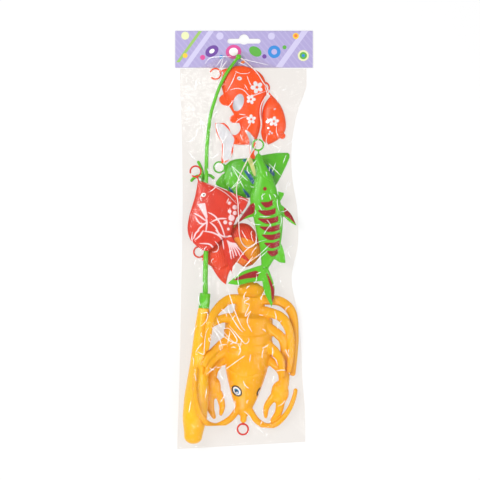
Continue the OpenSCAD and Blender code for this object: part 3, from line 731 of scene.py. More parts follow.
@dataclass(frozen=True)
class Finish:
    """A surface as it was made; its material is named for that."""

    name: str

    def shader(self, tree: NodeTree) -> Node:
        """Adds the finish's nodes to a tree and returns the last of them."""
        raise NotImplementedError

    def make(self) -> Material:
        """New material with the finish on its surface.

        Returns:
            The material.
        """
        material = bpy.data.materials.new(self.name)
        material.use_nodes = True
        tree = material.node_tree
        tree.nodes.clear()
        add_node(tree, "OutputMaterial", {}, {"Surface": self.shader(tree)})
        return material


@dataclass(frozen=True)
class MouldedPlastic(Finish):
    """Injection moulded polyethylene: deep even colour, a soft wide gloss, and the
    faint clouding and ripple that the melt leaves where it flowed."""

    colour: str
    shade: str
    roughness: float = 0.34
    cloud_mm: float = 14.0
    ripple_mm: float = 2.4
    prints: bool = False

    def shader(self, tree: NodeTree) -> Node:
        """Colour clouded by one noise, gloss and bump rippled by another, then the prints.

        Args:
            tree: tree that the nodes join.

        Returns:
            The plastic's shader. Foil prints are half metallic and have a gloss of their own.
        """
        place = {"Vector": add_node(tree, "TexCoord").outputs["Object"]}
        cloud = add_node(
            tree, "TexNoise", {"Scale": per_metre(self.cloud_mm), "Detail": 3.0}, place
        )
        ripple = add_node(
            tree, "TexNoise", {"Scale": per_metre(self.ripple_mm), "Detail": 2.0}, place
        )
        spread = add_node(tree, "MapRange", {"From Min": 0.35, "From Max": 0.75}, {"Value": cloud})
        tints = {"data_type": "RGBA", 6: linear(self.colour), 7: linear(self.shade)}
        colour = add_node(tree, "Mix", tints, {0: spread}).outputs[2]
        gloss = {"To Min": self.roughness - 0.06, "To Max": self.roughness + 0.08}
        rough = add_node(tree, "MapRange", gloss, {"Value": ripple})
        bump = add_node(tree, "Bump", {"Strength": 0.35, "Distance": 0.00012}, {"Height": ripple})
        links = {"Base Color": colour, "Roughness": rough, "Normal": bump}
        if self.prints:
            ink = add_node(tree, "Attribute", {"attribute_name": "ink"}).outputs
            foil = add_node(tree, "Attribute", {"attribute_name": "foil"}).outputs["Fac"]
            over = {0: ink["Alpha"], 6: colour, 7: ink["Color"]}
            links["Base Color"] = add_node(tree, "Mix", {"data_type": "RGBA"}, over).outputs[2]
            links["Roughness"] = add_node(tree, "Mix", {3: 0.28}, {0: foil, 2: rough})
            links["Metallic"] = add_node(tree, "Math", {"operation": "MULTIPLY", 1: 0.5}, {0: foil})
        body = {
            "IOR": 1.5, "Specular IOR Level": 0.3, "Subsurface Weight": 0.08,
            "Subsurface Scale": 0.002,
        }
        return add_node(tree, "BsdfPrincipled", body, links)


@dataclass(frozen=True)
class ClearFilm(Finish):
    """Blown polypropylene film: clear, with a mirror gloss over fine crumpling. At its
    folds the film is painted white, as highlights: a diffuse white in place of the mirror."""

    gloss: float
    painted_highlight: float
    crumple_mm: float = 9.0
    warp_mm: float = 18.0
    grain_mm: float = 4.0
    rim: float = 0.3
    haze_colour: str = "#FAF8F6"

    def shader(self, tree: NodeTree) -> Node:
        """Clear part mixed with a glossy one, by a low share that grows where it turns away.

        Args:
            tree: tree that the nodes join.

        Returns:
            The mix. Its bump is the distance to the edges of warped cells, plus a fine noise.
        """
        place = add_node(tree, "TexCoord").outputs["Object"]
        at = {"Vector": place}
        warp = add_node(tree, "TexNoise", {"Scale": per_metre(self.warp_mm), "Detail": 2.0}, at)
        bend = {"data_type": "VECTOR", "factor_mode": "UNIFORM", 0: 0.012}
        bent = add_node(tree, "Mix", bend, {4: place, 5: warp.outputs["Color"]}).outputs[1]
        cells = {"feature": "DISTANCE_TO_EDGE", "Scale": per_metre(self.crumple_mm)}
        facets = add_node(tree, "TexVoronoi", cells, {"Vector": bent})
        grain = {"Scale": per_metre(self.grain_mm), "Detail": 3.0, "Roughness": 0.6}
        fine = add_node(tree, "TexNoise", grain, at)
        height = add_node(tree, "Math", {"operation": "MULTIPLY_ADD", 1: 0.5}, {0: fine, 2: facets})
        bump = add_node(tree, "Bump", {"Strength": 0.7, "Distance": 0.0012}, {"Height": height})
        # above 0 this turns the mirror into diffuse white: a painted highlight on the folds
        mirror = {"Metallic": 1.0 - self.painted_highlight, "Roughness": 0.14 + 0.3 * self.painted_highlight}
        mirror["Base Color"] = linear(WHITE)
        glossy = add_node(tree, "BsdfPrincipled", mirror, {"Normal": bump})
        clear = add_node(tree, "BsdfTransparent", {"Color": linear(self.haze_colour)})
        turn = add_node(tree, "LayerWeight", {"Blend": 0.25}, {"Normal": bump}).outputs["Facing"]
        ends = {"To Min": self.gloss, "To Max": min(1.0, self.gloss + self.rim)}
        share = add_node(tree, "MapRange", ends, {"Value": turn})
        return add_node(tree, "MixShader", {}, {0: share, 1: clear, 2: glossy})


@dataclass(frozen=True)
class CoatedCard(Finish):
    """Coated paperboard, offset printed: an even tint under a thin gloss, with the
    raw brown board showing where it is cut."""

    tint: str
    pale: str
    board: str
    stripe_mm: float
    raw_edges: bool = True
    fibre_mm: float = 0.8
    stripe_turn: float = -40.0

    def shader(self, tree: NodeTree) -> Node:
        """Slanted stripes of a sine wave on the tint, and board on faces that look sideways.

        Args:
            tree: tree that the nodes join.

        Returns:
            The card's shader. Its gloss and bump follow a noise as fine as fibres.
        """
        place = add_node(tree, "TexCoord").outputs
        at = {"Vector": place["Object"]}
        fibre = add_node(tree, "TexNoise", {"Scale": per_metre(self.fibre_mm), "Detail": 4.0}, at)
        turn = {"Rotation": (0.0, 0.0, math.radians(self.stripe_turn))}
        slanted = add_node(tree, "Mapping", turn, at)
        wave = {"bands_direction": "X", "Scale": 0.314 / (self.stripe_mm * MM), "Distortion": 0.0}
        stripes = add_node(tree, "TexWave", wave, {"Vector": slanted}).outputs["Fac"]
        cut = {"From Min": 0.86, "From Max": 0.90, "To Max": 0.45}
        band = add_node(tree, "MapRange", cut, {"Value": stripes})
        tints = {"data_type": "RGBA", 6: linear(self.tint), 7: linear(self.pale)}
        colour = add_node(tree, "Mix", tints, {0: band}).outputs[2]
        if self.raw_edges:
            normal = add_node(tree, "SeparateXYZ", {}, {0: place["Normal"]}).outputs["Z"]
            tilt = add_node(tree, "Math", {"operation": "ABSOLUTE"}, {0: normal})
            fade = {"From Min": 0.02, "From Max": 0.1, "To Min": 1.0, "To Max": 0.0}
            edge = add_node(tree, "MapRange", fade, {"Value": tilt})
            raw = {"data_type": "RGBA", 7: linear(self.board)}
            colour = add_node(tree, "Mix", raw, {0: edge, 6: colour}).outputs[2]
        rough = add_node(tree, "MapRange", {"To Min": 0.36, "To Max": 0.52}, {"Value": fibre})
        bump = add_node(tree, "Bump", {"Strength": 0.25, "Distance": 0.00005}, {"Height": fibre})
        links = {"Base Color": colour, "Roughness": rough, "Normal": bump}
        return add_node(tree, "BsdfPrincipled", {"IOR": 1.5}, links)


@dataclass(frozen=True)
class TwistedNylon(Finish):
    """Two-ply twisted nylon line: pale, with painted shade in the grooves between its plies."""

    colour: str
    # colour of the grooves: painted shade where the plies meet
    groove: str

    def shader(self, tree: NodeTree) -> Node:
        """Mixes both colours by the ply attribute: 1 on a crown and 0 in a groove. The
        groove colour is painted shade.

        Args:
            tree: tree that the nodes join.

        Returns:
            The line's shader.
        """
        ply = add_node(tree, "Attribute", {"attribute_name": "ply"}).outputs["Fac"]
        tints = {"data_type": "RGBA", 6: linear(self.groove), 7: linear(self.colour)}
        colour = add_node(tree, "Mix", tints, {0: ply}).outputs[2]
        nylon = {"Roughness": 0.42, "IOR": 1.53, "Sheen Weight": 0.2}
        return add_node(tree, "BsdfPrincipled", nylon, {"Base Color": colour})


@dataclass(frozen=True)
class WhitePaper(Finish):
    """Matt white paper that keeps a soft shadow: mostly plain white where it is seen."""

    whitening: float = 0.72

    def shader(self, tree: NodeTree) -> Node:
        """Mixes plain white into the paper by its whitening.

        Args:
            tree: tree that the nodes join.

        Returns:
            The mix.
        """
        paper = add_node(tree, "BsdfDiffuse", {"Color": linear("#F4F4F4")})
        white = add_node(tree, "Emission", {"Strength": 1.0})
        mostly = {"operation": "MULTIPLY", 1: self.whitening}
        share = add_node(tree, "Math", mostly, {0: seen(tree)})
        return add_node(tree, "MixShader", {}, {0: share, 1: paper, 2: white})


# Dressing


@dataclass
class Workshop:
    """Makes the scene's objects, gives each its finish and puts it on its body."""

    finishes: dict[str, Material] = field(default_factory=dict)
    tops: list[Array] = field(default_factory=list)

    def finish(self, look: Finish) -> Material:
        """Material of a finish, made once.

        Args:
            look: the finish.

        Returns:
            Its material.
        """
        if look.name not in self.finishes:
            self.finishes[look.name] = look.make()
        return self.finishes[look.name]

    def place(
        self, name: str, mesh: Mesh, look: Finish, slot: Slot,
        replaces: str | None = None, under_film: bool = True,
    ) -> Object:
        """Makes a piece of a mesh.

        Args:
            name: name of the piece.
            mesh: its mesh, in metres and in place.
            look: its finish.
            slot: the record's slot of the piece; not used.
            replaces: the solid that it stands for.
            under_film: whether the film drapes over it.

        Returns:
            The object.
        """
        obj = scene_object(name, mesh)
        mesh.materials.clear()
        mesh.materials.append(self.finish(look))
        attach(obj, "root")
        if replaces:
            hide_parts(replaces)
        if under_film:
            self.tops.append(points_of(mesh))
        log.info("%s: %d faces", name, len(mesh.polygons))
        return obj


@dataclass
class Maker:
    """Makes one part of the game in the workshop."""

    shop: Workshop


# Studio


@dataclass
class Studio:
    """White floor, soft lamps and a camera that looks straight down."""

    centre: tuple[float, float] = (-4.8, 0.0)
    height: float = 2400.0
    middle_z: float = 10.0
    lens: float = 150.0
    sensor: float = 36.0
    floor_half: float = 1500.0
    floor_z: float = -0.05
    fill: float = 0.46
    light: float = 0.88

    def camera(self) -> None:
        """Camera over the middle of the view, with +Y up in the picture."""
        data = bpy.data.cameras.new("camera")
        data.lens = self.lens
        data.sensor_width = self.sensor
        data.clip_end = 10.0
        camera = bpy.data.objects.new("camera", data)
        camera.location = (*(v * MM for v in self.centre), (self.height + self.middle_z) * MM)
        bpy.context.scene.collection.objects.link(camera)
        bpy.context.scene.camera = camera

    def floor(self) -> None:
        """Square sheet of white paper under the pack."""
        side = np.array([-self.floor_half, self.floor_half])
        x, y = np.meshgrid(side, side)
        grid = np.stack([x, y, np.full_like(x, self.floor_z)], axis=-1)
        floor = scene_object("floor", mesh_of("floor", sheet_patch(grid)))
        floor.data.materials.append(WhitePaper("white_paper").make())

    def world(self) -> None:
        """White surroundings: full white where seen, a low fill where they light."""
        world = bpy.data.worlds.new("white_room")
        world.use_nodes = True
        tree = world.node_tree
        tree.nodes.clear()
        ends = {"To Min": self.fill, "To Max": 1.0}
        strength = add_node(tree, "MapRange", ends, {"Value": seen(tree)})
        room = add_node(tree, "Background", {"Color": linear(WHITE)}, {"Strength": strength})
        add_node(tree, "OutputWorld", {}, {"Surface": room})
        bpy.context.scene.world = world

    def lamp(
        self, name: str, at: Sequence[float], size: tuple[float, float], watts: float
    ) -> None:
        """Area lamp turned to the middle of the pack.

        Its own Z runs from the middle to the lamp, and its X across that and the
        scene's Y.

        Args:
            name: name of the lamp.
            at: its place in millimetres.
            size: its sides in millimetres.
            watts: its power before the studio's share of light.
        """
        data = bpy.data.lights.new(name, "AREA")
        data.shape = "RECTANGLE"
        data.size, data.size_y = size[0] * MM, size[1] * MM
        data.energy = watts * self.light
        lamp = bpy.data.objects.new(name, data)
        place = np.array(at) * MM
        z = place / np.linalg.norm(place)
        x = np.cross((0.0, 1.0, 0.0), z)
        x /= np.linalg.norm(x)
        turn = np.eye(4)
        turn[:3] = np.stack([x, np.cross(z, x), z, place], axis=1)
        lamp.matrix_world = Matrix(turn.tolist())
        bpy.context.scene.collection.objects.link(lamp)

    def build(self) -> None:
        """Sets up the camera, floor, world and lamps."""
        self.camera()
        self.floor()
        self.world()
        self.lamp("key", (-900.0, 500.0, 1500.0), (700.0, 700.0), 19.0)
        self.lamp("fill", (1100.0, -300.0, 1300.0), (900.0, 900.0), 9.0)
        self.lamp("strip", (-350.0, -1000.0, 900.0), (900.0, 120.0), 6.0)
        bpy.context.scene.view_settings.view_transform = "Standard"


# Finishes and inks of the toys


# the second colour of the line is painted shade, darker in the grooves between the plies
NYLON = TwistedNylon("nylon_twisted", "#F7E6E4", "#C9A9A6")
YELLOW = MouldedPlastic("polyethylene_blown_yellow", "#FFC900", "#FFB800", 0.26, 22.0)
GREEN = MouldedPlastic("polyethylene_moulded_green", "#62CC12", "#52B80C", 0.30)
ORANGE = MouldedPlastic("polyethylene_moulded_orange", "#FF5806", "#FA4C04", 0.30, prints=True)
CORAL = MouldedPlastic("polyethylene_moulded_coral", "#E0381F", "#D22E18", 0.34, prints=True)
CORAL_DARK = MouldedPlastic("polyethylene_moulded_red", "#EE4A24", "#E23A1C", 0.34, prints=True)
LEAF = MouldedPlastic("polyethylene_moulded_leaf", "#5AC20C", "#4CB20A", 0.32, prints=True)
LIME = MouldedPlastic("polyethylene_moulded_lime", "#60C81E", "#52BA16", 0.30, prints=True)
AMBER = MouldedPlastic("polyethylene_blown_amber", "#FAB802", "#F4A602", 0.24, 30.0, prints=True)
RED = MouldedPlastic("polystyrene_moulded_red", "#E2301C", "#D02614", 0.22)
FILM = ClearFilm("polypropylene_film", 0.015, 0.0, rim=0.1)
# folds: real ridges of the film, painted white as highlights of the creases
FOLD_HIGHLIGHT_FILM = ClearFilm("polypropylene_film_fold_highlight", 0.66, 0.75, 3.0, haze_colour=WHITE)
BOARD = CoatedCard("paperboard_coated", "#AAA0CE", "#BDB5DB", "#8A6A4F", 5.6)

SILVER = "#DDDFE6"
PETAL = "#EEEFF4"
MAROON = "#9A0C18"
PALE = "#FBDCE2"
NAVY = "#1C5F96"


# Line, rod and hook


LINE_ROUTE = (
    (-3.6, 218.4, 7.6), (3.4, 213, 7), (11, 206, 7), (17, 199, 9), (22.8, 189.6, 10),
    (27.6, 183, 10.2), (29.4, 177, 10.6), (25, 170.4, 11), (20.6, 162, 11), (19.4, 152, 10.8),
    (20.6, 138, 12), (19, 127, 16), (17.4, 121.2, 19), (15, 116, 19.2), (11.6, 108.6, 18.8),
    (6.4, 100.4, 14.6), (0, 88, 12.4), (-5.6, 75.8, 11), (-8.4, 66, 12), (-9, 56.4, 15.2),
    (-7.4, 45, 16), (-6.8, 34, 17), (-6.4, 27, 18.2), (-6.2, 20, 18.2), (-5.9, 12, 15),
    (-5.2, 5, 11.4), (-2.4, -3.6, 10.4), (4, -9, 10.6), (12, -6, 10.4), (15, 3, 9.6),
    (13, 14, 8.8), (6, 24, 8.4), (-5, 33, 7), (-18, 40, 5), (-30, 45.6, 3.2), (-38, 50, 3),
    (-44, 54.6, 4), (-48.4, 58.7, 6), (-50.4, 60.6, 5.2), (-52.6, 62.6, 2.6),
)


@dataclass
class FishingLine(Maker):
    """Limp twisted line from the knob of the rod to the eye of the hook."""

    diameter: float = 1.4
    twist: float = 2.6
    sides: int = 12
    step: float = 0.6

    def route(self) -> Array:
        """Middle line: the cubic through the route's knots, at even steps."""
        return resampled(spline(LINE_ROUTE, steps(1200)), self.step)

    def build(self) -> tuple[Object, Array]:
        """Sweeps a section of two round plies that turns along the route.

        The radius falls by a fifth between the plies: it follows the cosine of
        twice the angle less the twist at that length.

        Returns:
            The piece, and the line's middle path.
        """
        path = self.route()
        patch = tube(path, self.diameter / 2, self.sides)
        rows = len(patch.points) // self.sides
        run = np.linspace(0.0, len(path) * self.step, rows)[:, None]
        angle = angles(self.sides)[None]
        ply = 0.5 + 0.5 * np.cos(2.0 * (angle - 2 * math.pi * run / self.twist))
        ring = patch.points.reshape(rows, self.sides, 3)
        centre = ring.mean(axis=1, keepdims=True)
        ring = centre + (ring - centre) * (0.8 + 0.2 * ply)[..., None]
        mesh = mesh_of("fishing_line", Patch(ring.reshape(-1, 3), patch.faces))
        found = points_of(mesh)
        gap = np.linalg.norm(found[:, None] - path[None, ::20], axis=2).min(axis=1)
        crown = np.clip(gap / (self.diameter / 2), 0.0, 1.0)
        mesh.attributes.new("ply", "FLOAT", "POINT").data.foreach_set("value", crown)
        piece = self.shop.place("line_twisted", mesh, NYLON, Slot.LINE, "fishing_line")
        return piece, path


@dataclass
class Rod(Maker):
    """Hollow handle, ribbed collar and bent shaft with a knob."""

    at: tuple[float, float] = (-48.0, -81.6)
    axis_z: float = 15.2
    lean: float = 4.8
    handle_l: float = 163.0
    handle_d: float = 29.4
    top_d: float = 14.2
    neck_d: float = 10.0
    neck_l: float = 9.0
    collar_d: float = 13.2
    collar_l: float = 18.0
    shaft_d: float = 6.6
    tip_d: float = 3.6
    knob_d: float = 6.6
    tip: tuple[float, float, float] = (-6.5, 220.0, 7.0)
    shape: tuple[float, ...] = (0, 0.22, 0.38, 0.52, 0.78, 1, 0.97, 0.5)

    def on_axis(self, patch: Patch) -> Patch:
        """Patch drawn on the rod's axis as Z, laid down along the rod.

        Args:
            patch: patch around Z.

        Returns:
            The same patch in the pack.
        """
        p = patch.points
        laid = np.stack([p[:, 0], p[:, 2], -p[:, 1]], axis=1)
        return Patch(laid, patch.faces).moved((self.at[0], self.at[1], self.axis_z), -self.lean)

    def radius(self, u: Array) -> Array:
        """Radius of the handle at a share of its length: a cubic through its shape."""
        share = np.minimum(1.0, spline([[v] for v in self.shape], u)[:, 0])
        return (self.top_d + (self.handle_d - self.top_d) * share) / 2

    def handle(self) -> None:
        """Turned profile with a shoulder, a quarter ellipse at its end and a parting line."""
        end_l = self.handle_d * 0.3
        body_l = self.handle_l - end_l
        u = steps(170)
        body = np.stack([self.radius(u) - 0.9 * np.exp(-u * 150.0), -body_l * u], axis=1)
        a = np.linspace(0.0, math.pi / 2, 26)[1:]
        end = np.stack([body[-1, 0] * np.cos(a), -body_l - end_l * np.sin(a)], axis=1)
        neck = np.array([
            [0.0, self.neck_l], [3.6, self.neck_l], [3.6, self.neck_l - 0.2], [4.4, self.neck_l],
            [self.neck_d / 2 - 0.05, self.neck_l - 0.5], [self.neck_d / 2 - 0.05, 0.3],
            [self.top_d / 2 - 1.6, 0.05],
        ])
        patch = turned(np.concatenate([neck, body, end]), 112)
        p = patch.points.copy()
        seam = np.exp(-((p[:, 1] / 0.5) ** 2)) * (np.abs(p[:, 0]) > 1.0) * (p[:, 2] < -1.0)
        p[:, 0] -= np.sign(p[:, 0]) * 0.12 * seam
        mesh = mesh_of("handle", self.on_axis(Patch(p, patch.faces)))
        self.shop.place("handle_blown", mesh, YELLOW, Slot.YELLOW, "rod_handle")

    def collar(self) -> None:
        """Sleeve with rounded lips and a shallow groove at both ends."""
        r, l = self.collar_d / 2, self.collar_l
        bore = self.shaft_d / 2 + 0.1
        wide = self.neck_d / 2 + 0.1
        profile = np.array([
            [bore, l - 0.3], [bore + 0.3, l], [r - 1.1, l], [r - 0.5, l - 0.25], [r - 0.1, l - 0.9],
            [r - 0.25, l - 1.8], [r - 0.25, l - 2.3], [r, l - 2.9], [r, l - 3.0], [r, 3.1],
            [r, 2.9], [r - 0.25, 2.3], [r - 0.25, 1.8], [r, 1.2], [r, 0.5], [r - 0.2, 0.15],
            [wide + 0.2, 0.12], [wide, 0.3], [wide, self.neck_l + 0.2], [bore, self.neck_l + 0.3],
            [bore, l - 0.3],
        ])
        patch = turned(profile, 72)
        angle = np.arctan2(patch.points[:, 1], patch.points[:, 0])
        body = np.hypot(patch.points[:, 0], patch.points[:, 1]) > r - 0.02
        grip = 1.0 - 0.012 * body * (0.5 + 0.5 * np.cos(24 * angle))
        points = patch.points * np.stack([grip, grip, np.ones_like(grip)], axis=1)
        mesh = mesh_of("collar", self.on_axis(Patch(points, patch.faces)))
        self.shop.place("collar_sleeve", mesh, GREEN, Slot.GREEN, "rod_collar")

    def shaft(self) -> None:
        """Tapered bar along the bent middle line, with a ball at its tip."""
        root, first = self.neck_l + 2.0, self.collar_l + 3.0
        c, s = cos_sin(self.lean)
        bends = [
            (-46.4, 0.111, 13.8), (-46, 0.184, 10.4), (-45, 0.310, SHAFT_Z),
            (-45.4, 0.483, SHAFT_Z), (-44.6, 0.629, 8.6), (-42.6, 0.705, 8), (-39.4, 0.778, 8),
            (-30, 0.874, 9.4), (-21, 0.934, 9.8), (-13.6, 0.970, 8.4),
        ]
        way = self.tip[1] - self.at[1]
        on_rod = [(self.at[0] + t * s, self.at[1] + t * c, self.axis_z) for t in (root, first)]
        knots = [on_rod[1]] + [(x, self.at[1] + way * v, z) for x, v, z in bends]
        knots.append((self.tip[0] - 2.6, self.tip[1] - 3.0, self.tip[2] + 0.5))
        start = np.linspace(on_rod[0], on_rod[1], 12)[:-1]
        path = resampled(np.concatenate([start, spline(knots, steps(500))]), 0.9)
        t = steps(len(path))
        bar = tube(path, (self.shaft_d + (self.tip_d - self.shaft_d) * t**0.8) / 2, 20)
        knob = ball(20, 28).scaled(self.knob_d / 2).moved(self.tip)
        mesh = fused("shaft", [bar, knob], voxel=0.42, smoothing=2)
        self.shop.place("shaft_bent", mesh, GREEN, Slot.GREEN, "rod_shaft")

    def build(self) -> None:
        """Builds the three pieces of the rod."""
        self.handle()
        self.collar()
        self.shaft()


@dataclass
class Hook(Maker):
    """Three bent prongs around a hub, and a shank that ends in an eye."""

    at: tuple[float, float, float] = (-49.4, 76.2, 4.0)
    prong_d: float = 4.0
    prong_r: float = 7.0
    hub_d: float = 7.0
    shank_l: float = 12.0
    shank_turn: float = -8.0
    line_d: float = 1.4
    prongs: tuple[Knots, ...] = (
        ((0, 0.1, 0), (-0.15, 1, 0), (-0.45, 1.85, 0.05), (-0.86, 2.65, 0.2)),
        ((-0.1, 0, 0), (-0.85, 0.12, 0), (-1.5, -0.2, 0.1), (-2.05, -0.8, 0.25)),
        ((0.1, 0, 0), (0.75, 0.25, -0.1), (1.35, 0.15, -0.18), (1.9, -0.3, -0.18)),
    )

    def build(self) -> Object:
        """Melts the prongs, hub, shank and eye into one moulding.

        Returns:
            The piece.
        """
        parts = [ball(20, 28).scaled(self.hub_d / 2)]
        for knots in self.prongs:
            path = spline(np.array(knots) * self.prong_r, steps(24))
            size = self.prong_d / 2 * (1.0 - 0.12 * steps(24))
            parts.append(tube(path[:-2], size[:-2], 16))
        eye_r = self.line_d * 2
        shank = np.linspace((0.0, 0.0, 0.0), (0.0, 1.0 - self.shank_l, 0.0), 14)
        parts.append(tube(shank, self.prong_d / 2 * 0.95, 16).moved((0, 0, 0), self.shank_turn))
        eye = hoop(eye_r + self.line_d * 0.2, self.line_d * 1.2)
        parts.append(eye.moved((0, -self.shank_l - eye_r, 0)).moved((0, 0, 0), self.shank_turn))
        mesh = fused("hook", [p.moved(self.at) for p in parts], voxel=0.34, smoothing=2)
        return self.shop.place("hook_moulded", mesh, GREEN, Slot.GREEN, "line_hook")


# Fish


@dataclass(frozen=True)
class Fin:
    """Fin between two edges, from the body out, with a curve across its end."""

    first: Knots
    second: Knots
    end: Knots | None = None
    rays: int = 0

    def patch(self, width: float, length: float, levels: tuple[float, float]) -> Patch:
        """Closed slab over a blend of its edges.

        Points are mixed straight across from one edge to the other, and then
        moved by the gap between the end's curve and its chord, times the share of
        the way out. The front is rounded at its edges and grooved between rays.

        Args:
            width: width of the body that its knots are shares of.
            length: its length.
            levels: lowest and highest Z.

        Returns:
            One closed patch.
        """
        scale = np.array([width, -length])
        s, t = steps(46), steps(34)
        a, b = spline(self.first, s) * scale, spline(self.second, s) * scale
        flat = a[:, None] * (1 - t)[None, :, None] + b[:, None] * t[None, :, None]
        if self.end is not None:
            chord = a[-1] * (1 - t)[:, None] + b[-1] * t[:, None]
            flat = flat + s[:, None, None] ** 1.5 * (spline(self.end, t) * scale - chord)[None]
        low, high = levels
        edge = np.minimum(t, 1 - t)[None] * np.ones_like(s)[:, None]
        crown = 1.0 - 0.35 * (1.0 - ease(edge / 0.14)) - 0.25 * ease((s[:, None] - 0.9) / 0.1)
        if self.rays:
            crown = crown - 0.14 * ease(
                (0.5 - 0.5 * np.cos(2 * math.pi * self.rays * t)) * 1.4 - 0.6
            )[None]
        z = low + (high - low) * crown
        front = np.concatenate([flat, z[..., None]], axis=2)
        back = np.concatenate([flat, np.full_like(z, low)[..., None]], axis=2)
        area = np.cross(b[len(b) // 2] - a[len(a) // 2], a[-1] - a[0])
        if area > 0:
            front, back = front[:, ::-1], back[:, ::-1]
        return closed_patch(front, back)


def crown_grid(
    left: Array, right: Array, height: Array, inset: float, span: tuple[float, float],
    arch: float = 0.75,
) -> Array:
    """Grid over a crowned body, row by row between its two outlines.

    A point stands at the cosine of its angle across and at the sine of it, to the
    power of the arch, times the height there.

    Args:
        left: knots of one outline (n, 2).
        right: knots of the other outline.
        height: knots of the height (n, 1).
        inset: how far the grid lies inside the outlines and below the crown.
        span: first and last place along the outlines, from 0 to 1.
        arch: power of the sine.

    Returns:
        Points (rows, columns, 3).
    """
    u = np.linspace(span[0], span[1], 110)
    a, b, h = spline(left, u), spline(right, u), spline(height, u)[:, 0] - inset
    gap = np.linalg.norm(b - a, axis=1, keepdims=True)
    step = (b - a) / gap * np.minimum(inset, gap * 0.4)
    a, b = a + step, b - step
    angle = np.linspace(0.0, math.pi, 64)
    share = (0.5 - 0.5 * np.cos(angle))[None, :, None]
    flat = a[:, None] * (1 - share) + b[:, None] * share
    z = h[:, None] * np.sin(angle)[None] ** arch
    return np.concatenate([flat, z[..., None]], axis=2)


@dataclass
class Fish:
    """Hollow-backed moulded fish: a crowned shell, fins, and a ring at its nose."""

    name: str
    node: str
    at: tuple[float, float, float]
    size: tuple[float, float]
    left: Knots
    right: Knots
    heights: tuple[float, ...]
    fins: tuple[Fin, ...]
    stem_to: tuple[float, float]
    look: MouldedPlastic
    slot: Slot
    ring_at: tuple[float, float] = (0.0, 0.0)
    gap: tuple[float, float] = (0.0, 0.0)
    wall: float = FISH_WALL
    hollow_end: float = 0.9
    prints: tuple[Print, ...] = ()
    extras: tuple[Patch, ...] = ()
    voxel: float = 0.6

    def shell(self) -> Patch:
        """Closed wall between the crown and the hollow behind it.

        Returns:
            The wall, still about the ring.
        """
        scale = np.array([self.size[0], -self.size[1]])
        left, right = np.array(self.left) * scale, np.array(self.right) * scale
        height = np.array(self.heights)[:, None] * FISH_RISE
        front = crown_grid(left, right, height, 0.0, (0.0, 1.0))
        hem = 1.5 * self.wall / np.linalg.norm(left[-1] - left[0])
        end = min(self.hollow_end, 1.0 - 3 * hem)
        back = crown_grid(left, right, height, self.wall, (hem, end))
        return closed_patch(front, back)

    def ring(self) -> list[Patch]:
        """Nose ring and the stem that joins it to the body.

        Returns:
            Both closed patches.
        """
        low = WIRE_D / 2
        x, y = self.stem_to[0] * self.size[0], self.stem_to[1] * self.size[1]
        reach = math.hypot(x, y)
        hoop_patch = hoop(RING_R, WIRE_D, self.gap[0] + self.gap[1] / 2, 360.0 - self.gap[1])
        run = np.linspace(RING_R - 0.4, reach + 1.0, 12)[:, None]
        stem = run * np.array([x / reach, y / reach, 0.0])
        off = (*self.ring_at, low)
        return [hoop_patch.moved(off), tube(stem, low * 0.92, 14).moved(off)]

    def relief(self, points: Array) -> Array:
        """Height that the moulding's own pattern adds at places from its ring."""
        return np.zeros(len(points))

    def build(self, shop: Workshop) -> Object:
        """Melts the parts into one moulding, then adds its relief and its print.

        Args:
            shop: workshop that places the pieces.

        Returns:
            The piece.
        """
        levels = (0.1, FIN_T)
        parts = [self.shell(), *self.ring(), *self.extras]
        parts += [f.patch(self.size[0], self.size[1], levels) for f in self.fins]
        mesh = fused(self.name, parts, self.voxel, smoothing=3)
        points = points_of(mesh)
        lift = self.relief(points) * ease((normals_of(mesh)[:, 2] - 0.3) / 0.3)
        points[:, 2] = np.maximum(points[:, 2] + lift, 0.0)
        set_points(mesh, points + np.array(self.at))
        if self.prints:
            printed(mesh, self.prints)
        return shop.place(self.name, mesh, self.look, self.slot, self.node)


@dataclass(frozen=True)
class RibFields(Print):
    """Fields between the ribs of a skeleton, sagging like smiles, pointed at the
    spine and blunt at the belly."""

    left: Knots
    right: Knots
    size: tuple[float, float]
    at: tuple[float, float, float]
    colour: str
    foil: float = 0.0
    count: int = 7
    pitch: float = 0.05
    rib_w: float = 3.0
    sag: float = 3.0

    def cover(self, x: Array, y: Array) -> Array:
        """Full where the gap to a field's sagging middle line is below half its width.

        Args:
            x: places across, in millimetres.
            y: places along.

        Returns:
            The cover of each place.
        """
        w, l = self.size
        u, v = x - self.at[0], y - self.at[1]
        full = np.zeros(x.shape)
        for i in range(self.count):
            level = -0.355 * l - self.pitch * l * i
            share = np.array([(-level / l - 0.06) / 0.71])
            start = spline(self.left, share)[0, 0] * w + 0.11 * w
            stop = spline(self.right, share)[0, 0] * w - 0.04 * w
            t = np.clip((u - start) / (stop - start), 0.0, 1.0)
            half = (self.pitch * l - self.rib_w) / 2 * np.minimum(1.0, 2.4 * t) ** 0.6
            half = half * np.where((u > start) & (u < stop), 1.0, 0.0)
            gap = half - np.abs(v - level + self.sag * np.sin(math.pi * t))
            full = np.maximum(full, ease(np.where(half > 0, gap / 0.6 + 0.5, 0.0)))
        return full


@dataclass
class RibbedFish(Fish):
    """Skeleton fish: its painted fields are sunk between the ribs."""

    fields: RibFields | None = None
    depth: float = 1.2

    def relief(self, points: Array) -> Array:
        """Sinks the fields by their depth, and the gill line by half a millimetre.

        Args:
            points: places from the ring (n, 3).

        Returns:
            One height a place.
        """
        x, y = points[:, 0] + self.at[0], points[:, 1] + self.at[1]
        gill = Stroke(GILL, 1.6, "#000000").cover(x, y)
        return -self.depth * self.fields.cover(x, y) - 0.5 * gill


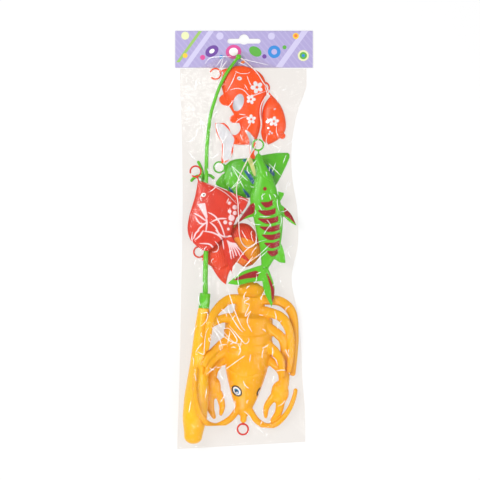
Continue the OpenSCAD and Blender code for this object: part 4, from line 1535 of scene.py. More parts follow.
@dataclass
class GroovedFish(Fish):
    """Fish with fine moulded lines all over, like scales or rays."""

    pitch: float = 2.2
    angle: float = 57.0
    groove: float = 0.3
    bend: float = 0.01

    def relief(self, points: Array) -> Array:
        """Sinks a cosine wave that runs at an angle and bends with the distance.

        Args:
            points: places from the ring (n, 3).

        Returns:
            One height a place.
        """
        c, s = cos_sin(self.angle)
        along, across = points[:, 0] * c + points[:, 1] * s, points[:, 1] * c - points[:, 0] * s
        wave = 0.5 + 0.5 * np.cos(2 * math.pi * (along + self.bend * across**2) / self.pitch)
        return -self.groove * wave**2


GILL = ((15.5, 83.0), (23.1, 75.4), (30.7, 70.4), (34.9, 63.6))

SKELETON_LEFT = (
    (-0.02, 0.055), (-0.05, 0.09), (-0.02, 0.15), (-0.05, 0.225), (-0.115, 0.325),
    (-0.09, 0.40), (-0.03, 0.525), (0.03, 0.65), (0.05, 0.77),
)
SKELETON_RIGHT = (
    (0.035, 0.055), (0.07, 0.09), (0.145, 0.15), (0.22, 0.21), (0.30, 0.32),
    (0.35, 0.41), (0.35, 0.53), (0.30, 0.645), (0.14, 0.77),
)
SKELETON_AT = (16.8, 113.8, SKELETON_Z)
SKELETON_SIZE = (83.42, 194.0)
RIBS = RibFields(SKELETON_LEFT, SKELETON_RIGHT, SKELETON_SIZE, SKELETON_AT, MAROON)


def skeleton_fish() -> RibbedFish:
    """Long fish with ribs, a jaw, three fins and a forked tail.

    Returns:
        The fish.
    """
    return RibbedFish(
        "fish_ribbed", "skeleton_fish", SKELETON_AT, SKELETON_SIZE, SKELETON_LEFT, SKELETON_RIGHT,
        (0.3, 0.5, 0.8, 0.95, 1, 1, 0.9, 0.7, 0.4),
        (
            Fin(((0.20, 0.24), (0.26, 0.28), (0.375, 0.295)),
                ((0.30, 0.36), (0.36, 0.32), (0.375, 0.295))),
            Fin(((-0.05, 0.32), (-0.14, 0.38), (-0.27, 0.46), (-0.37, 0.52)),
                ((-0.04, 0.44), (-0.17, 0.455), (-0.26, 0.475), (-0.37, 0.52))),
            Fin(((0.31, 0.36), (0.38, 0.385), (0.48, 0.43), (0.555, 0.50)),
                ((0.31, 0.43), (0.36, 0.44), (0.45, 0.475), (0.555, 0.50))),
            Fin(((0.28, 0.59), (0.345, 0.62), (0.385, 0.68), (0.395, 0.73)),
                ((0.20, 0.70), (0.26, 0.712), (0.31, 0.725), (0.395, 0.73))),
            Fin(((0.05, 0.74), (-0.10, 0.76), (-0.26, 0.79), (-0.44, 0.855)),
                ((0.06, 0.84), (-0.12, 0.85), (-0.28, 0.865), (-0.44, 0.855))),
            Fin(((0.05, 0.76), (0.06, 0.84), (0.09, 0.91), (0.195, 1)),
                ((0.14, 0.75), (0.23, 0.86), (0.235, 0.93), (0.195, 1))),
        ),
        (0.01, -0.06), LIME, Slot.LIME, wall=2.6, hollow_end=0.955, fields=RIBS,
        prints=(
            RIBS,
            Spot((24.9, 61.1), (2.3, 2.3), MAROON),
            Field(((11.0, 44.3), (12.0, 33.0), (2.9, 27.9), (-11.1, 16.8), (-5.9, 29.6)), MAROON),
            Field((
                (48.7, 39.2), (56.8, 33.3), (62.8, 21.9), (61.5, 19.5), (53.7, 26.3),
                (48.4, 30.3),
            ), MAROON),
            Field((
                (-12.4, -47.5), (1.1, -40.5), (15.2, -36.9), (16.6, -44.0), (3.8, -46.1),
                (-6.8, -48.0),
            ), MAROON),
            Field((
                (26.6, -39.0), (31.2, -46.1), (36.5, -60.2), (36.0, -73.9), (33.3, -72.5),
                (31.7, -58.4), (27.9, -44.7),
            ), MAROON),
        ),
    )


def angelfish() -> GroovedFish:
    """Round fish with a back fin and a wide forked tail, printed in pale pink.

    Returns:
        The fish.
    """
    back_edge = ((-44.3, 67.3), (-35.9, 64.3), (-20.7, 55.2), (-8.6, 43.1))
    back_edge_low = ((-44.3, 69.0), (-30.0, 66.7), (-17.0, 58.3), (-6.9, 48.5))
    rays = (
        ((-44.3, 21.6), (-52.7, 28.3), (-60.3, 32.0)),
        ((-44.3, 19.9), (-52.7, 19.9), (-58.6, 28.6)),
        ((-44.3, 21.6), (-50.7, 16.5), (-55.7, 11.4)),
        ((-43.4, 33.3), (-34.2, 27.9), (-27.1, 16.5), (-22.4, 2.0)),
        ((-41.2, 21.6), (-33.8, 14.8), (-28.1, 2.0)), ((-39.2, 21.6), (-30.0, 25.3), (-20.7, 25.6)),
        ((-46.0, 28.3), (-44.3, 21.6), (-45.6, 9.8)), ((-60.5, 1.1), (-57.5, 8.5), (-53.3, 11.6)),
        ((-58.7, 0.0), (-52.6, 5.3), (-48.7, 11.6)),
        ((-53.3, -4.2), (-42.0, -4.9), (-36.4, -9.8), (-32.9, -14.4)),
        ((-48.7, 10.6), (-36.7, 8.5), (-27.2, 2.1), (-24.1, -11.2)),
        ((-34.1, 11.6), (-24.8, 4.3), (-12.1, 5.0), (3.8, 3.6)),
    )
    fan = (
        ((-20.2, -0.3), (-17.4, -9.1), (-15.3, -22.5)),
        ((-18.8, -1.0), (-14.6, -10.9), (-12.1, -21.4)),
        ((-17.4, -2.1), (-11.4, -11.9), (-8.6, -20.4)),
        ((-16.0, -2.8), (-8.2, -11.9), (-4.7, -19.0)),
        ((-14.9, -3.1), (-5.4, -10.9), (-0.5, -17.6)), ((-13.5, -3.5), (-3.3, -9.5), (3.0, -15.5)),
        ((-12.1, -3.5), (-0.8, -8.4), (7.3, -13.7)),
    )
    dots = (
        ((-17.7, 44.3), 2.0), ((-11.1, 39.2), 2.8), ((-17.2, 34.2), 2.3), ((-10.9, 32.3), 2.5),
        ((-15.0, 26.4), 3.7), ((-22.4, 21.2), 2.4), ((-16.3, 19.9), 2.1), ((-18.7, 13.1), 1.7),
        ((-7.4, 15.8), 1.5),
    )
    eye = (-48.5, 54.0)
    return GroovedFish(
        "fish_round", "angelfish", (-58.0, 82.2, ANGEL_Z), (80.0, 124.0),
        ((0.03, 0.10), (-0.01, 0.24), (-0.10, 0.44), (-0.12, 0.58), (-0.04, 0.69), (0.18, 0.77),
         (0.38, 0.65)),
        ((0.06, 0.09), (0.25, 0.13), (0.45, 0.19), (0.59, 0.29), (0.62, 0.42), (0.57, 0.52),
         (0.52, 0.62)),
        (0.3, 0.62, 0.88, 1, 0.95, 0.75, 0.35),
        (
            Fin(((0.34, 0.15), (0.57, 0.21), (0.80, 0.27)),
                ((0.5, 0.4), (0.60, 0.45), (0.74, 0.36), (0.80, 0.27)),
                rays=5),
            Fin(((0.39, 0.62), (0.42, 0.78), (0.55, 1)),
                ((0.52, 0.60), (0.66, 0.74), (0.88, 0.915)),
                ((0.55, 1), (0.60, 0.82), (0.88, 0.915)), rays=9),
        ),
        (0.055, -0.115), CORAL, Slot.CORAL, gap=(215, 40), hollow_end=0.8,
        prints=(
            Field(
                ((-56.1, 43.1), (-46.6, 44.3), (-43.3, 26.9), (-46.0, 26.3)), PALE, rounded=False
            ),
            *(Stroke(k, 1.9, PALE, taper=0.75) for k in rays),
            *(Stroke(k, 1.6, PALE, taper=0.5) for k in fan),
            *(Spot(at, (r, r), PALE) for at, r in dots),
            Stroke(back_edge, 0.9, PALE), Stroke(back_edge_low, 0.9, PALE),
            Stroke(((-7.7, 54.0), (-0.5, 52.5), (7.3, 47.5)), 1.1, PALE),
            Stroke(((-6.0, 50.2), (0.4, 48.8), (6.6, 45.1)), 1.1, PALE),
            Spot(eye, (2.9, 2.4), WHITE, turn=20),
            Spot((eye[0] + 0.5, eye[1]), (1.1, 1.1), "#3A2A2E"),
        ),
    )


def tropical_fish() -> GroovedFish:
    """Fish with a long belly fin, its red fading to orange and yellow.

    Returns:
        The fish.
    """
    return GroovedFish(
        "fish_banded", "tropical_fish", (-54.0, -14.4, FLOOR_Z), (95.0, 76.0),
        ((0.03, 0.13), (0.16, 0.23), (0.29, 0.27), (0.45, 0.16), (0.58, 0.24), (0.72, 0.16),
         (0.80, -0.02)),
        ((0.05, 0.08), (0.12, -0.08), (0.26, -0.30), (0.46, -0.44), (0.62, -0.44), (0.74, -0.28),
         (0.80, -0.16)),
        (0.3, 0.6, 0.85, 0.95, 0.95, 0.8, 0.35),
        (
            Fin(((0.13, 0.19), (0.25, 0.42), (0.34, 0.52)),
                ((0.48, 0.15), (0.38, 0.33), (0.34, 0.52)), rays=4),
            Fin(((0.79, -0.16), (0.88, -0.26), (0.99, -0.30)),
                ((0.79, -0.02), (0.88, 0.04), (1, 0.06)),
                ((0.99, -0.30), (0.93, -0.12), (1, 0.06)), rays=5),
        ),
        (0.06, -0.11), CORAL_DARK, Slot.RED, pitch=2.6, angle=20.0, bend=0.006,
        prints=(
            Field((
                (-12.1, 1.4), (3.8, 1.4), (17.8, -7.4), (19.6, -33.8), (3.8, -34.1),
                (-4.7, -21.4),
            ), "#F79A1E"),
            Field(
                ((-6.8, -24.1), (3.8, -25.8), (10.8, -34.1), (-3.3, -36.4), (-12.1, -34.1)),
                "#F57A22",
            ),
            Stroke(((-3.3, -2.1), (1.1, -7.0), (9.0, -6.3)), 1.3, "#F9C46B"),
            Stroke(
                ((-57.0, -14.4), (-48.2, -27.6), (-36.7, -40.8), (-29.3, -48.7)), 1.4, "#F7A59A"
            ),
        ),
    )


def green_fish() -> Fish:
    """Low fish with a tall fin behind its head, striped in dark blue.

    Returns:
        The fish.
    """
    return Fish(
        "fish_striped", "green_fish", (-29.8, 87.6, FLOOR_Z), (90.0, 63.0),
        ((0.075, 0.06), (0.05, 0.31), (0.16, 0.50), (0.36, 0.59), (0.56, 0.50), (0.72, 0.24)),
        ((0.08, -0.04), (0.16, -0.13), (0.31, -0.17), (0.51, -0.15), (0.67, -0.06), (0.76, 0.03)),
        (0.3, 0.7, 0.9, 0.9, 0.75, 0.4),
        (
            Fin(((0.20, -0.12), (0.45, -0.20), (0.75, -0.275), (0.92, -0.28)),
                ((0.40, 0.05), (0.52, 0.20), (0.62, 0.30), (0.66, 0.36)),
                ((0.92, -0.28), (0.945, -0.20), (0.87, 0.05), (0.75, 0.36), (0.66, 0.36)), rays=7),
            Fin(((0.04, 0.13), (-0.05, 0.29), (-0.02, 0.36), (0.12, 0.44)),
                ((0.10, 0.12), (0.18, 0.25), (0.2, 0.42)), rays=3),
        ),
        (0.1, -0.01), LEAF, Slot.LEAF,
        prints=(
            Field(((-0.1, 83.5), (6.3, 81.3), (12.1, 71.7), (10.6, 67.0), (4.9, 75.1)), NAVY),
            Field(((23.4, 92.3), (30.2, 87.9), (36.6, 80.5), (35.2, 76.8), (29.5, 83.8)), NAVY),
            Field(((-18.2, 64.0), (-12.6, 57.8), (-13.3, 53.9), (-17.0, 58.9)), NAVY),
            Field(((-1.8, 62.3), (5.9, 55.2), (7.3, 50.5), (2.5, 53.5)), NAVY),
            Spot((0.5, 96.3), (2.2, 2.6), "#157F8C"),
            Field(((3.7, 98.2), (9.3, 98.2), (14.3, 80.1), (12.0, 77.4), (6.9, 89.6)), "#E9EE9A"),
            Stroke(((-16.3, 88.9), (-17.0, 84.5), (-11.9, 81.5)), 1.0, "#2B9A22"),
        ),
    )


def orange_fish(second: bool) -> Fish:
    """Fat orange fish, silver-foiled: the whole one, or the one half behind it.

    Args:
        second: whether it is the half-hidden one.

    Returns:
        The fish.
    """
    if second:
        spots = ((31.2, 130.1), (29.2, 134.4), (33.5, 128.3), (30.2, 127.3))
        foot = ball(16, 36).scaled((3.9, 3.9, 1.2)).moved((10.2, -18.6, 1.2))
        return Fish(
            "fish_orange_second", "orange_fish_b", (36.0, 144.0, FLOOR_Z), (60.0, 60.0),
            ((-0.08, -0.49), (-0.19, -0.32), (-0.24, -0.14), (-0.24, 0.10), (-0.26, 0.26),
             (-0.21, 0.44)),
            ((-0.03, -0.50), (0.12, -0.33), (0.22, -0.09), (0.235, 0.18), (0.09, 0.38),
             (-0.13, 0.50)),
            (0.3, 0.75, 0.95, 0.95, 0.8, 0.4), (), (0.15, -0.165), ORANGE, Slot.ORANGE,
            ring_at=(-12.0, 39.6), extras=(foot,),
            prints=(
                *flower((35.9, 142.4), 6.0, 10.0),
                *(Spot(at, (1.2, 1.2), SILVER, 1.0) for at in spots),
                Spot((28.5, 142.4), (2.4, 2.0), SILVER, 1.0, 30),
                Spot((36.9, 157.3), (1.5, 0.8), SILVER, 1.0, 30),
            ),
        )
    return Fish(
        "fish_orange", "orange_fish_a", (-34.3, 199.9, ORANGE_Z), (62.64, 108.0),
        ((0.15, -0.03), (0.11, 0.12), (0.19, 0.28), (0.32, 0.42), (0.43, 0.52), (0.48, 0.60),
         (0.45, 0.65), (0.37, 0.69)),
        ((0.19, -0.06), (0.53, -0.09), (0.88, 0.00), (0.99, 0.18), (0.90, 0.37), (0.87, 0.57),
         (0.74, 0.77), (0.39, 0.79)),
        (0.35, 0.7, 0.95, 1, 1, 0.95, 0.8, 0.35),
        (
            Fin(((-0.01, 0.55), (0.02, 0.66), (0.12, 0.79), (0.105, 1)),
                ((0.17, 0.545), (0.26, 0.60), (0.335, 0.72), (0.345, 0.84), (0.315, 0.92)),
                ((0.105, 1), (0.22, 0.98), (0.315, 0.92))),
            Fin(((0.28, 0.66), (0.36, 0.68), (0.46, 0.68)),
                ((0.28, 0.80), (0.36, 0.785), (0.46, 0.79))),
            Fin(((0.573, 0.636), (0.644, 0.74), (0.655, 0.84), (0.663, 0.935)),
                ((0.70, 0.66), (0.759, 0.737), (0.778, 0.807), (0.745, 0.895), (0.816, 0.94)),
                ((0.663, 0.935), (0.74, 0.95), (0.816, 0.94))),
            Fin(((0.20, 0.22), (0.12, 0.235), (0.07, 0.27)),
                ((0.26, 0.36), (0.13, 0.345), (0.07, 0.30))),
            Fin(((0.36, 0.45), (0.30, 0.47), (0.272, 0.49)),
                ((0.48, 0.55), (0.32, 0.545), (0.272, 0.51))),
        ),
        (0.17, 0.045), ORANGE, Slot.ORANGE, gap=(190, 70),
        prints=(
            Spot((-5.4, 194.0), (2.9, 2.3), SILVER, 1.0, -15),
            Spot((-6.0, 193.8), (0.9, 0.9), "#8B8E98", 1.0),
            Spot((-6.7, 165.0), (6.3, 10.6), "#B9BCC5", 1.0, -18),
            *flower((15.5, 183.2), 7.4, 40.0), *flower((8.3, 168.7), 5.6, 0.0),
            *flower((8.6, 144.8), 5.6, 20.0),
            Field((
                (-33.8, 139.1), (-25.4, 139.1), (-17.0, 131.0), (-11.9, 122.2),
                (-12.6, 115.8), (-15.0, 107.4), (-15.6, 98.7), (-25.1, 96.0),
                (-25.4, 114.2), (-29.8, 124.3),
            ), SILVER, 1.0),
            Field((
                (1.5, 131.3), (6.3, 129.6), (12.7, 120.9), (10.6, 115.8), (11.0, 108.3),
                (8.3, 104.1), (6.9, 112.5), (5.9, 120.9),
            ), "#C9CCD3", 1.0),
        ),
    )


# Lobster


@dataclass
class Lobster(Maker):
    """Lobster blown in one piece: plated tail, limbs, claws and two printed eyes,
    each with a painted highlight.
    """

    at: tuple[float, float, float] = (-0.4, -211.0, FLOOR_Z)
    lean: float = -3.3
    length: float = 161.0
    width: float = 61.0
    height: float = 26.0
    wall: float = 1.6
    step: float = 1.0
    body_end: float = 0.885
    hollow_span: tuple[float, float] = (0.125, 0.85)
    voxel: float = 0.9
    feeler_d: float = 8.0
    feeler_tip_d: float = 5.2
    leg_d: float = 12.4
    leg_tip_d: float = 7.0
    leg_flat: float = 0.68
    arm_flat: float = 0.78
    claw_h: float = 8.4
    palm_size: tuple[float, ...] = (10.8, 14.5, 5.4)
    cuff_size: tuple[float, ...] = (9.4, 2.6, 5.5)
    finger_r: tuple[float, ...] = (5.6, 4.8)
    lobe_size: tuple[float, ...] = (8.2, 12.4, 4.2)
    lobe_turns: tuple[float, ...] = (-42, -21, 0, 21, 42)
    stem_l: float = 9.0
    stem_d: float = 8.0
    peg_d: float = 3.0
    peg_l: float = 6.0
    shape: Knots = (
        (0.20, 0.28), (0.34, 0.42), (0.49, 0.55), (0.60, 0.66), (0.70, 0.78), (0.81, 0.90),
        (0.91, 0.97), (1, 1),
    )
    shape_at: tuple[float, ...] = (0, 0.06, 0.125, 0.19, 0.25, 0.33, 0.40, 0.475)
    tail_shape: Knots = ((0.98, 0.97), (0.98, 0.95), (0.93, 0.86), (0.66, 0.66), (0.60, 0.52))
    tail_at: tuple[float, ...] = (0, 0.3, 0.62, 0.70, 1)
    plate_bow: float = 0.042
    plates: tuple[float, ...] = (0.495, 0.565, 0.635, 0.775, 0.92)
    feelers: tuple[Knots, ...] = (
        ((-6, 10, 5), (-15, -4, 5), (-29, -13, 10), (-38, -12.5, 20), (-45, -8, 28),
         (-52, 2, 32), (-56.5, 13, 33), (-59.5, 26, 32.6), (-60.5, 40, 30.9), (-60, 54, 29.4)),
        ((7, 7, 5), (16, -5, 5), (28, -11, 5), (39, -8, 6), (48, 1, 8), (55.5, 14, 9),
         (59.5, 27, 8), (60.5, 34, 7)),
    )
    legs: tuple[Knots, ...] = (
        ((-10, 139, 7), (-26, 138, 10), (-40, 125, 20), (-46.5, 110, 27), (-48, 94, 28),
         (-49, 79, 27)),
        ((-17, 117, 12), (-33, 115, 18), (-44, 108, 26)),
        ((-19, 94, 12), (-36, 80, 17), (-47, 68, 25), (-50, 60, 28)),
        ((-20, 80, 10), (-36, 70, 16), (-44, 60, 23), (-47, 50, 27.4)),
        ((10, 140, 7), (34, 140, 7), (48, 131, 6), (54, 116, 5), (56.5, 84, 5), (56, 54, 5)),
        ((17, 127, 11), (38, 121, 14), (49, 104, 13), (52, 80, 12), (51, 58, 11)),
        ((20, 110, 12), (40, 96, 10), (45, 76, 7), (46, 60, 5)),
        ((20, 90, 12), (36, 76, 16), (42, 64, 16), (43, 52, 15)),
    )
    arms: tuple[Knots, ...] = (
        ((-18, 72, 8), (-30, 65, 7), (-39, 54, 6), (-41.5, 42, 5.5), (-40.5, 31, 4.8)),
        ((18, 72, 8), (34, 65, 7), (44, 54, 6), (46, 42, 5.5), (43, 30, 4.8)),
    )
    claws: tuple[tuple[Knots, Knots, Knots], ...] = (
        (((-40, 30),), ((-42, 20), (-40, 6), (-35.5, -4)), ((-31, 24), (-26.5, 10), (-27.5, 0))),
        (((42, 29),), ((43.5, 20), (41.5, 6), (34.5, -4)), ((34, 24), (27, 12), (26.5, 0))),
    )

    def section(self, v: Array) -> tuple[Array, Array]:
        """Half width and height of the body at shares of its length.

        Args:
            v: shares of the length, from the snout.

        Returns:
            One of each for every share.
        """
        head = spline(self.shape, np.interp(v, self.shape_at, steps(8)))
        neck = self.shape_at[-1]
        place = np.interp((v - neck) / (self.body_end - neck), self.tail_at, steps(5))
        both = np.where((v < neck)[:, None], head, spline(self.tail_shape, place))
        return both[:, 0] * self.width / 2, both[:, 1] * self.height

    def body(self) -> Patch:
        """Crowned body. Each plate swells to its rear edge and then steps down.

        The edges of the plates bow to the head over the back, so the place along
        the body that counts is moved by the sine of the angle across.

        Returns:
            One closed patch along Y.
        """
        v = np.linspace(0.0, self.body_end, 330)
        a = np.linspace(0.0, math.pi, 110)
        half, high = self.section(v)
        place = v[:, None] + self.plate_bow * np.sin(a)[None] ** 2
        ends = np.array(self.plates)
        index = np.clip(np.searchsorted(ends, place) - 1, 0, len(ends) - 2)
        t = np.clip((place - ends[index]) / (ends[index + 1] - ends[index]), 0.0, 1.0)
        swell = -self.step * (1.0 - ease(t * 1.1)) * (place > ends[0])
        groove = -0.7 * np.exp(-(((v[:, None] - 0.30 - 0.06 * np.cos(a)[None] ** 2) / 0.008) ** 2))
        seam = 0.45 * np.exp(-((np.cos(a)[None] / 0.035) ** 2)) * ease((v[:, None] - 0.08) / 0.1)
        grow = swell + groove
        x = -np.cos(a)[None] * (half[:, None] + grow)
        z = (high[:, None] + grow) * np.sin(a)[None] ** 0.75 + seam
        y = np.broadcast_to(v[:, None] * self.length, x.shape)
        front = np.stack([x, y, z - 0.7], axis=-1)[:, ::-1]
        back = front.copy()
        back[..., 2] = -1.4
        return closed_patch(front, back)

    def hollow(self) -> Patch:
        """Room behind the body, open at the back, and the socket of the ring's peg.

        Returns:
            Two closed patches as one.
        """
        v = np.linspace(*self.hollow_span, 90)
        a = np.linspace(0.0, math.pi, 50)
        half, high = self.section(v)
        thick = self.wall + self.step
        x = -np.cos(a)[None] * (half[:, None] - thick)
        z = (high[:, None] - thick) * np.sin(a)[None] ** 0.75 - 0.6
        y = np.broadcast_to(v[:, None] * self.length, x.shape)
        front = np.stack([x, y, z], axis=-1)[:, ::-1]
        back = front.copy()
        back[..., 2] = -3.0
        run = np.linspace(-self.stem_l - 1.5, -self.stem_l + self.peg_l - 1.4, 8)
        bore = np.stack([np.zeros(8), run, np.full(8, self.stem_d / 2)], axis=1)
        return joined([closed_patch(front, back), tube(bore, self.peg_d / 2 + 0.1, 28)])

    def limb(self, knots: Knots, root_d: float, tip_d: float, joints: int, flat: float) -> Patch:
        """Tapered limb through knots, a little thicker at each of its joints.

        Args:
            knots: knots of its middle line.
            root_d: diameter at the body.
            tip_d: diameter at the tip.
            joints: number of joints between.
            flat: height of its section as a share of its width.

        Returns:
            One closed patch.
        """
        path = resampled(spline(knots, steps(200)), 1.2)
        t = steps(len(path))
        size = (root_d + (tip_d - root_d) * t**1.4) / 2
        if joints:
            near = np.abs(t[:, None] - steps(joints + 2)[None, 1:-1]).min(axis=1)
            size = size * (1.0 + 0.07 * np.exp(-((near / 0.05) ** 2)))
        return tube(path, size, 20, flat)

    def claw(self, parts: tuple[Knots, Knots, Knots]) -> list[Patch]:
        """Flattened palm with a cuff, and two curved fingers with blunt tips.

        Args:
            parts: the palm's place, and the knots of both fingers.

        Returns:
            Its closed patches.
        """
        palm = np.array([*parts[0][0], self.claw_h / 2])
        hand = ball(30, 40).scaled(self.palm_size).moved(palm + np.array([0.0, 1.0, 0.0]))
        cuff = ball(30, 40).scaled(self.cuff_size).moved(palm + np.array([0.0, 8.0, 0.2]))
        pieces = [hand, cuff]
        for finger, size in zip(parts[1:], self.finger_r):
            path = spline(finger, steps(40))
            t = steps(40)
            full = np.column_stack([path, np.full(40, self.claw_h / 2)])
            pieces.append(tube(full, size * (1.0 - 0.55 * t**1.5), 20, flat=0.8))
        return pieces

    def fan(self) -> list[Patch]:
        """Five flat lobes at the end of the tail.

        Returns:
            Five closed patches.
        """
        lobe = ball(24, 40).scaled(self.lobe_size).moved((0.0, 9.0, 3.0))
        start = (0.0, 0.87 * self.length, 0.0)
        return [lobe.moved((0, 0, 0), turn).moved(start) for turn in self.lobe_turns]

    def build(self) -> None:
        """Melts the lobster into one moulding, hollows it and prints its eyes, each with
        a painted highlight.
        """
        parts = [self.body(), *self.fan()]
        parts += [self.limb(k, self.feeler_d, self.feeler_tip_d, 0, 1.0) for k in self.feelers]
        parts += [self.limb(k, self.leg_d, self.leg_tip_d, 2, self.leg_flat) for k in self.legs]
        parts += [self.limb(k, self.leg_d, self.leg_d * 1.05, 2, self.arm_flat) for k in self.arms]
        parts += [piece for c in self.claws for piece in self.claw(c)]
        run = np.linspace(3.0, -self.stem_l + self.stem_d / 2 - 0.2, 10)
        stem = np.stack([np.zeros(10), run, np.full(10, self.stem_d / 2)], axis=1)
        parts.append(tube(stem, self.stem_d / 2, 28))
        mesh = fused("lobster", parts, self.voxel, smoothing=2)
        points = points_of(mesh)
        points[:, 2] = np.maximum(points[:, 2], 0.0)
        points[:, 1] = np.maximum(
            points[:, 1], -self.stem_l - 4.0 * (np.abs(points[:, 0]) > self.stem_d)
        )
        set_points(mesh, points)
        mesh = carved(mesh, self.hollow())
        flat = Patch(points_of(mesh), np.empty((0, 4), dtype=int)).moved(self.at, self.lean)
        set_points(mesh, flat.points)
        eyes: list[Print] = []
        for x, y, turn in ((-8.6, -180.8, -52.0), (21.4, -182.6, 52.0)):
            off = -0.6 if x < 0 else 0.6
            eyes += [
                Spot((x, y), (7.6, 5.5), "#0E0C14", turn=turn),
                Spot((x, y), (5.7, 3.7), WHITE, turn=turn),
                Spot((x + off * 0.3, y - 0.3), (3.8, 2.5), "#2A8CC6", turn=turn),
                Spot((x + off * 0.4, y - 0.6), (2.2, 1.6), "#0F3558", turn=turn),
                # painted highlight: a white spot at the same offset in both eyes
                Spot((x + 0.4, y - 2.0), (1.0, 0.8), WHITE),
            ]
        printed(mesh, eyes)
        self.shop.place("lobster_blown", mesh, AMBER, Slot.AMBER, "lobster")
        self.ring()

    def ring(self) -> None:
        """Red ring with a peg that plugs into the stem."""
        hoop_patch = hoop(RING_R, WIRE_D).moved((0.0, -RING_R - WIRE_D / 2, 0.0))
        run = np.linspace(-WIRE_D / 2, self.peg_l - self.peg_d / 2 - 0.2, 8)
        peg = tube(np.stack([np.zeros(8), run, np.zeros(8)], axis=1), self.peg_d / 2, 24)
        local = (0.0, -self.stem_l - 0.1, self.stem_d / 2)
        parts = [p.moved(local).moved(self.at, self.lean) for p in (hoop_patch, peg)]
        mesh = fused("ring", parts, voxel=0.3, smoothing=2)
        self.shop.place("ring_plug", mesh, RED, Slot.RED, "lobster_ring")


# Card and film


# Each ink of the card with its discs: x, y, half sizes, turn in degrees and layer
INKS: dict[str, tuple[str, tuple[tuple[float, ...], ...]]] = {
    "pale": ("#CBC5E6", ((-29.0, 245.6, 4.4, 4.4, 0, 1), (33.0, 245.4, 4.2, 4.2, 0, 1))),
    "meadow": ("#96C060", ()),
    "cream": ("#E4E8B4", ((-70.8, 246.0, 4.8, 4.8, 0, 2), (71.4, 222.0, 6.6, 6.6, 0, 2))),
    "yellow": ("#F3C63B", ((-70.8, 222.0, 2.9, 2.9, 0, 2), (62.4, 245.6, 3.7, 3.7, 0, 2))),
    "orange": ("#EE7A34", ((-1.2, 214.2, 2.6, 1.7, 20, 2), (62.4, 245.9, 2.0, 2.0, 0, 3))),
    "purple": ("#6A3F98", ((-38.6, 227.4, 8.6, 6.2, 35, 2), (24.6, 221.0, 2.6, 2.6, 0, 2))),
    "pink": ("#D84A94", ((-12.6, 226.6, 9.4, 8.4, 10, 2), (-49.8, 219.8, 3.0, 3.0, 0, 2))),
    "white": ("#FBFAFD", ((-12.6, 226.6, 5.4, 4.8, 10, 3), (-38.6, 227.4, 3.4, 2.4, 35, 3))),
    "green": (
        "#57A83C",
        ((13.6, 227.0, 8.0, 5.6, -30, 2), (71.4, 222.0, 4.4, 4.4, 0, 3),
         (48.8, 232.0, 2.4, 2.4, 0, 2)),
    ),
    "blue": (
        "#2F86D2",
        ((36.4, 226.6, 7.6, 7.6, 0, 2), (71.4, 222.0, 1.9, 1.9, 0, 4),
         (-27.4, 220.4, 2.4, 2.4, 0, 2)),
    ),
    "lilac": ("#B9AEDB", ((36.4, 226.6, 3.4, 3.4, 0, 3),)),
}


@dataclass
class CardPrint(Maker):
    """Artwork of the card's front, as thin laid layers: plain discs and bands."""

    lift: float = 0.04
    border: float = 0.4
    slant: float = 0.72

    def disc(self, x: float, y: float, wide: float, long: float, turn: float, layer: int) -> Patch:
        """Flat ellipse, as rings of points, on one of the layers above the card.

        Args:
            x: its middle across.
            y: its middle along.
            wide: half its width.
            long: half its length.
            turn: its turn in degrees.
            layer: number of the layer, from 1 up.

        Returns:
            The ellipse.
        """
        a = np.linspace(0.0, 2 * math.pi, 49)
        share = np.array([0.0, 0.5, 1.0])[:, None]
        u, v = share * wide * np.cos(a), share * long * np.sin(a)
        flat = sheet_patch(np.stack([u, v, np.zeros_like(u)], axis=-1))
        return flat.moved((x, y, CARD_TOP_Z + self.lift * layer), turn)

    def band(self, x: float, wide: float, start: float = 0.0, share: float = 1.0) -> Patch:
        """Slanted band on the first layer, up to the card's top edge.

        Args:
            x: middle of its lower end.
            wide: its width along the card's edge.
            start: how far its lower end lies above the card's edge.
            share: how far it leans, as a share of the card's own slant.

        Returns:
            The band.
        """
        low, high = CARD_Y + self.border, TOP_Y - self.border
        t = steps(24)[:, None]
        end = x + (high - low) * self.slant * share
        middle = np.array([x, low + start]) * (1 - t) + np.array([end, high]) * t
        rows = np.stack([middle + [wide / 2, 0.0], middle - [wide / 2, 0.0]], axis=1)
        z = np.full((*rows.shape[:2], 1), CARD_TOP_Z + self.lift)
        return sheet_patch(np.concatenate([rows, z], axis=2))

    def build(self) -> None:
        """Lays the layers, each colour as one piece."""
        bands = {
            "pale": [self.band(-71.0, 7.0), self.band(42.0, 8.0)],
            "meadow": [self.band(-79.5, 4.2, 6.0, 0.86)],
        }
        for name, (colour, discs) in INKS.items():
            patches = bands.get(name, []) + [self.disc(*row) for row in discs]
            ink = CoatedCard(f"offset_ink_{name}", colour, colour, colour, 3.0, raw_edges=False)
            mesh = mesh_of(name, joined(patches))
            self.shop.place(f"print_{name}", mesh, ink, Slot.CARD, under_film=False)

    def dress_card(self, card: Object) -> None:
        """Gives the card of the pack its coated stock."""
        card.data.materials.clear()
        card.data.materials.append(self.shop.finish(BOARD))


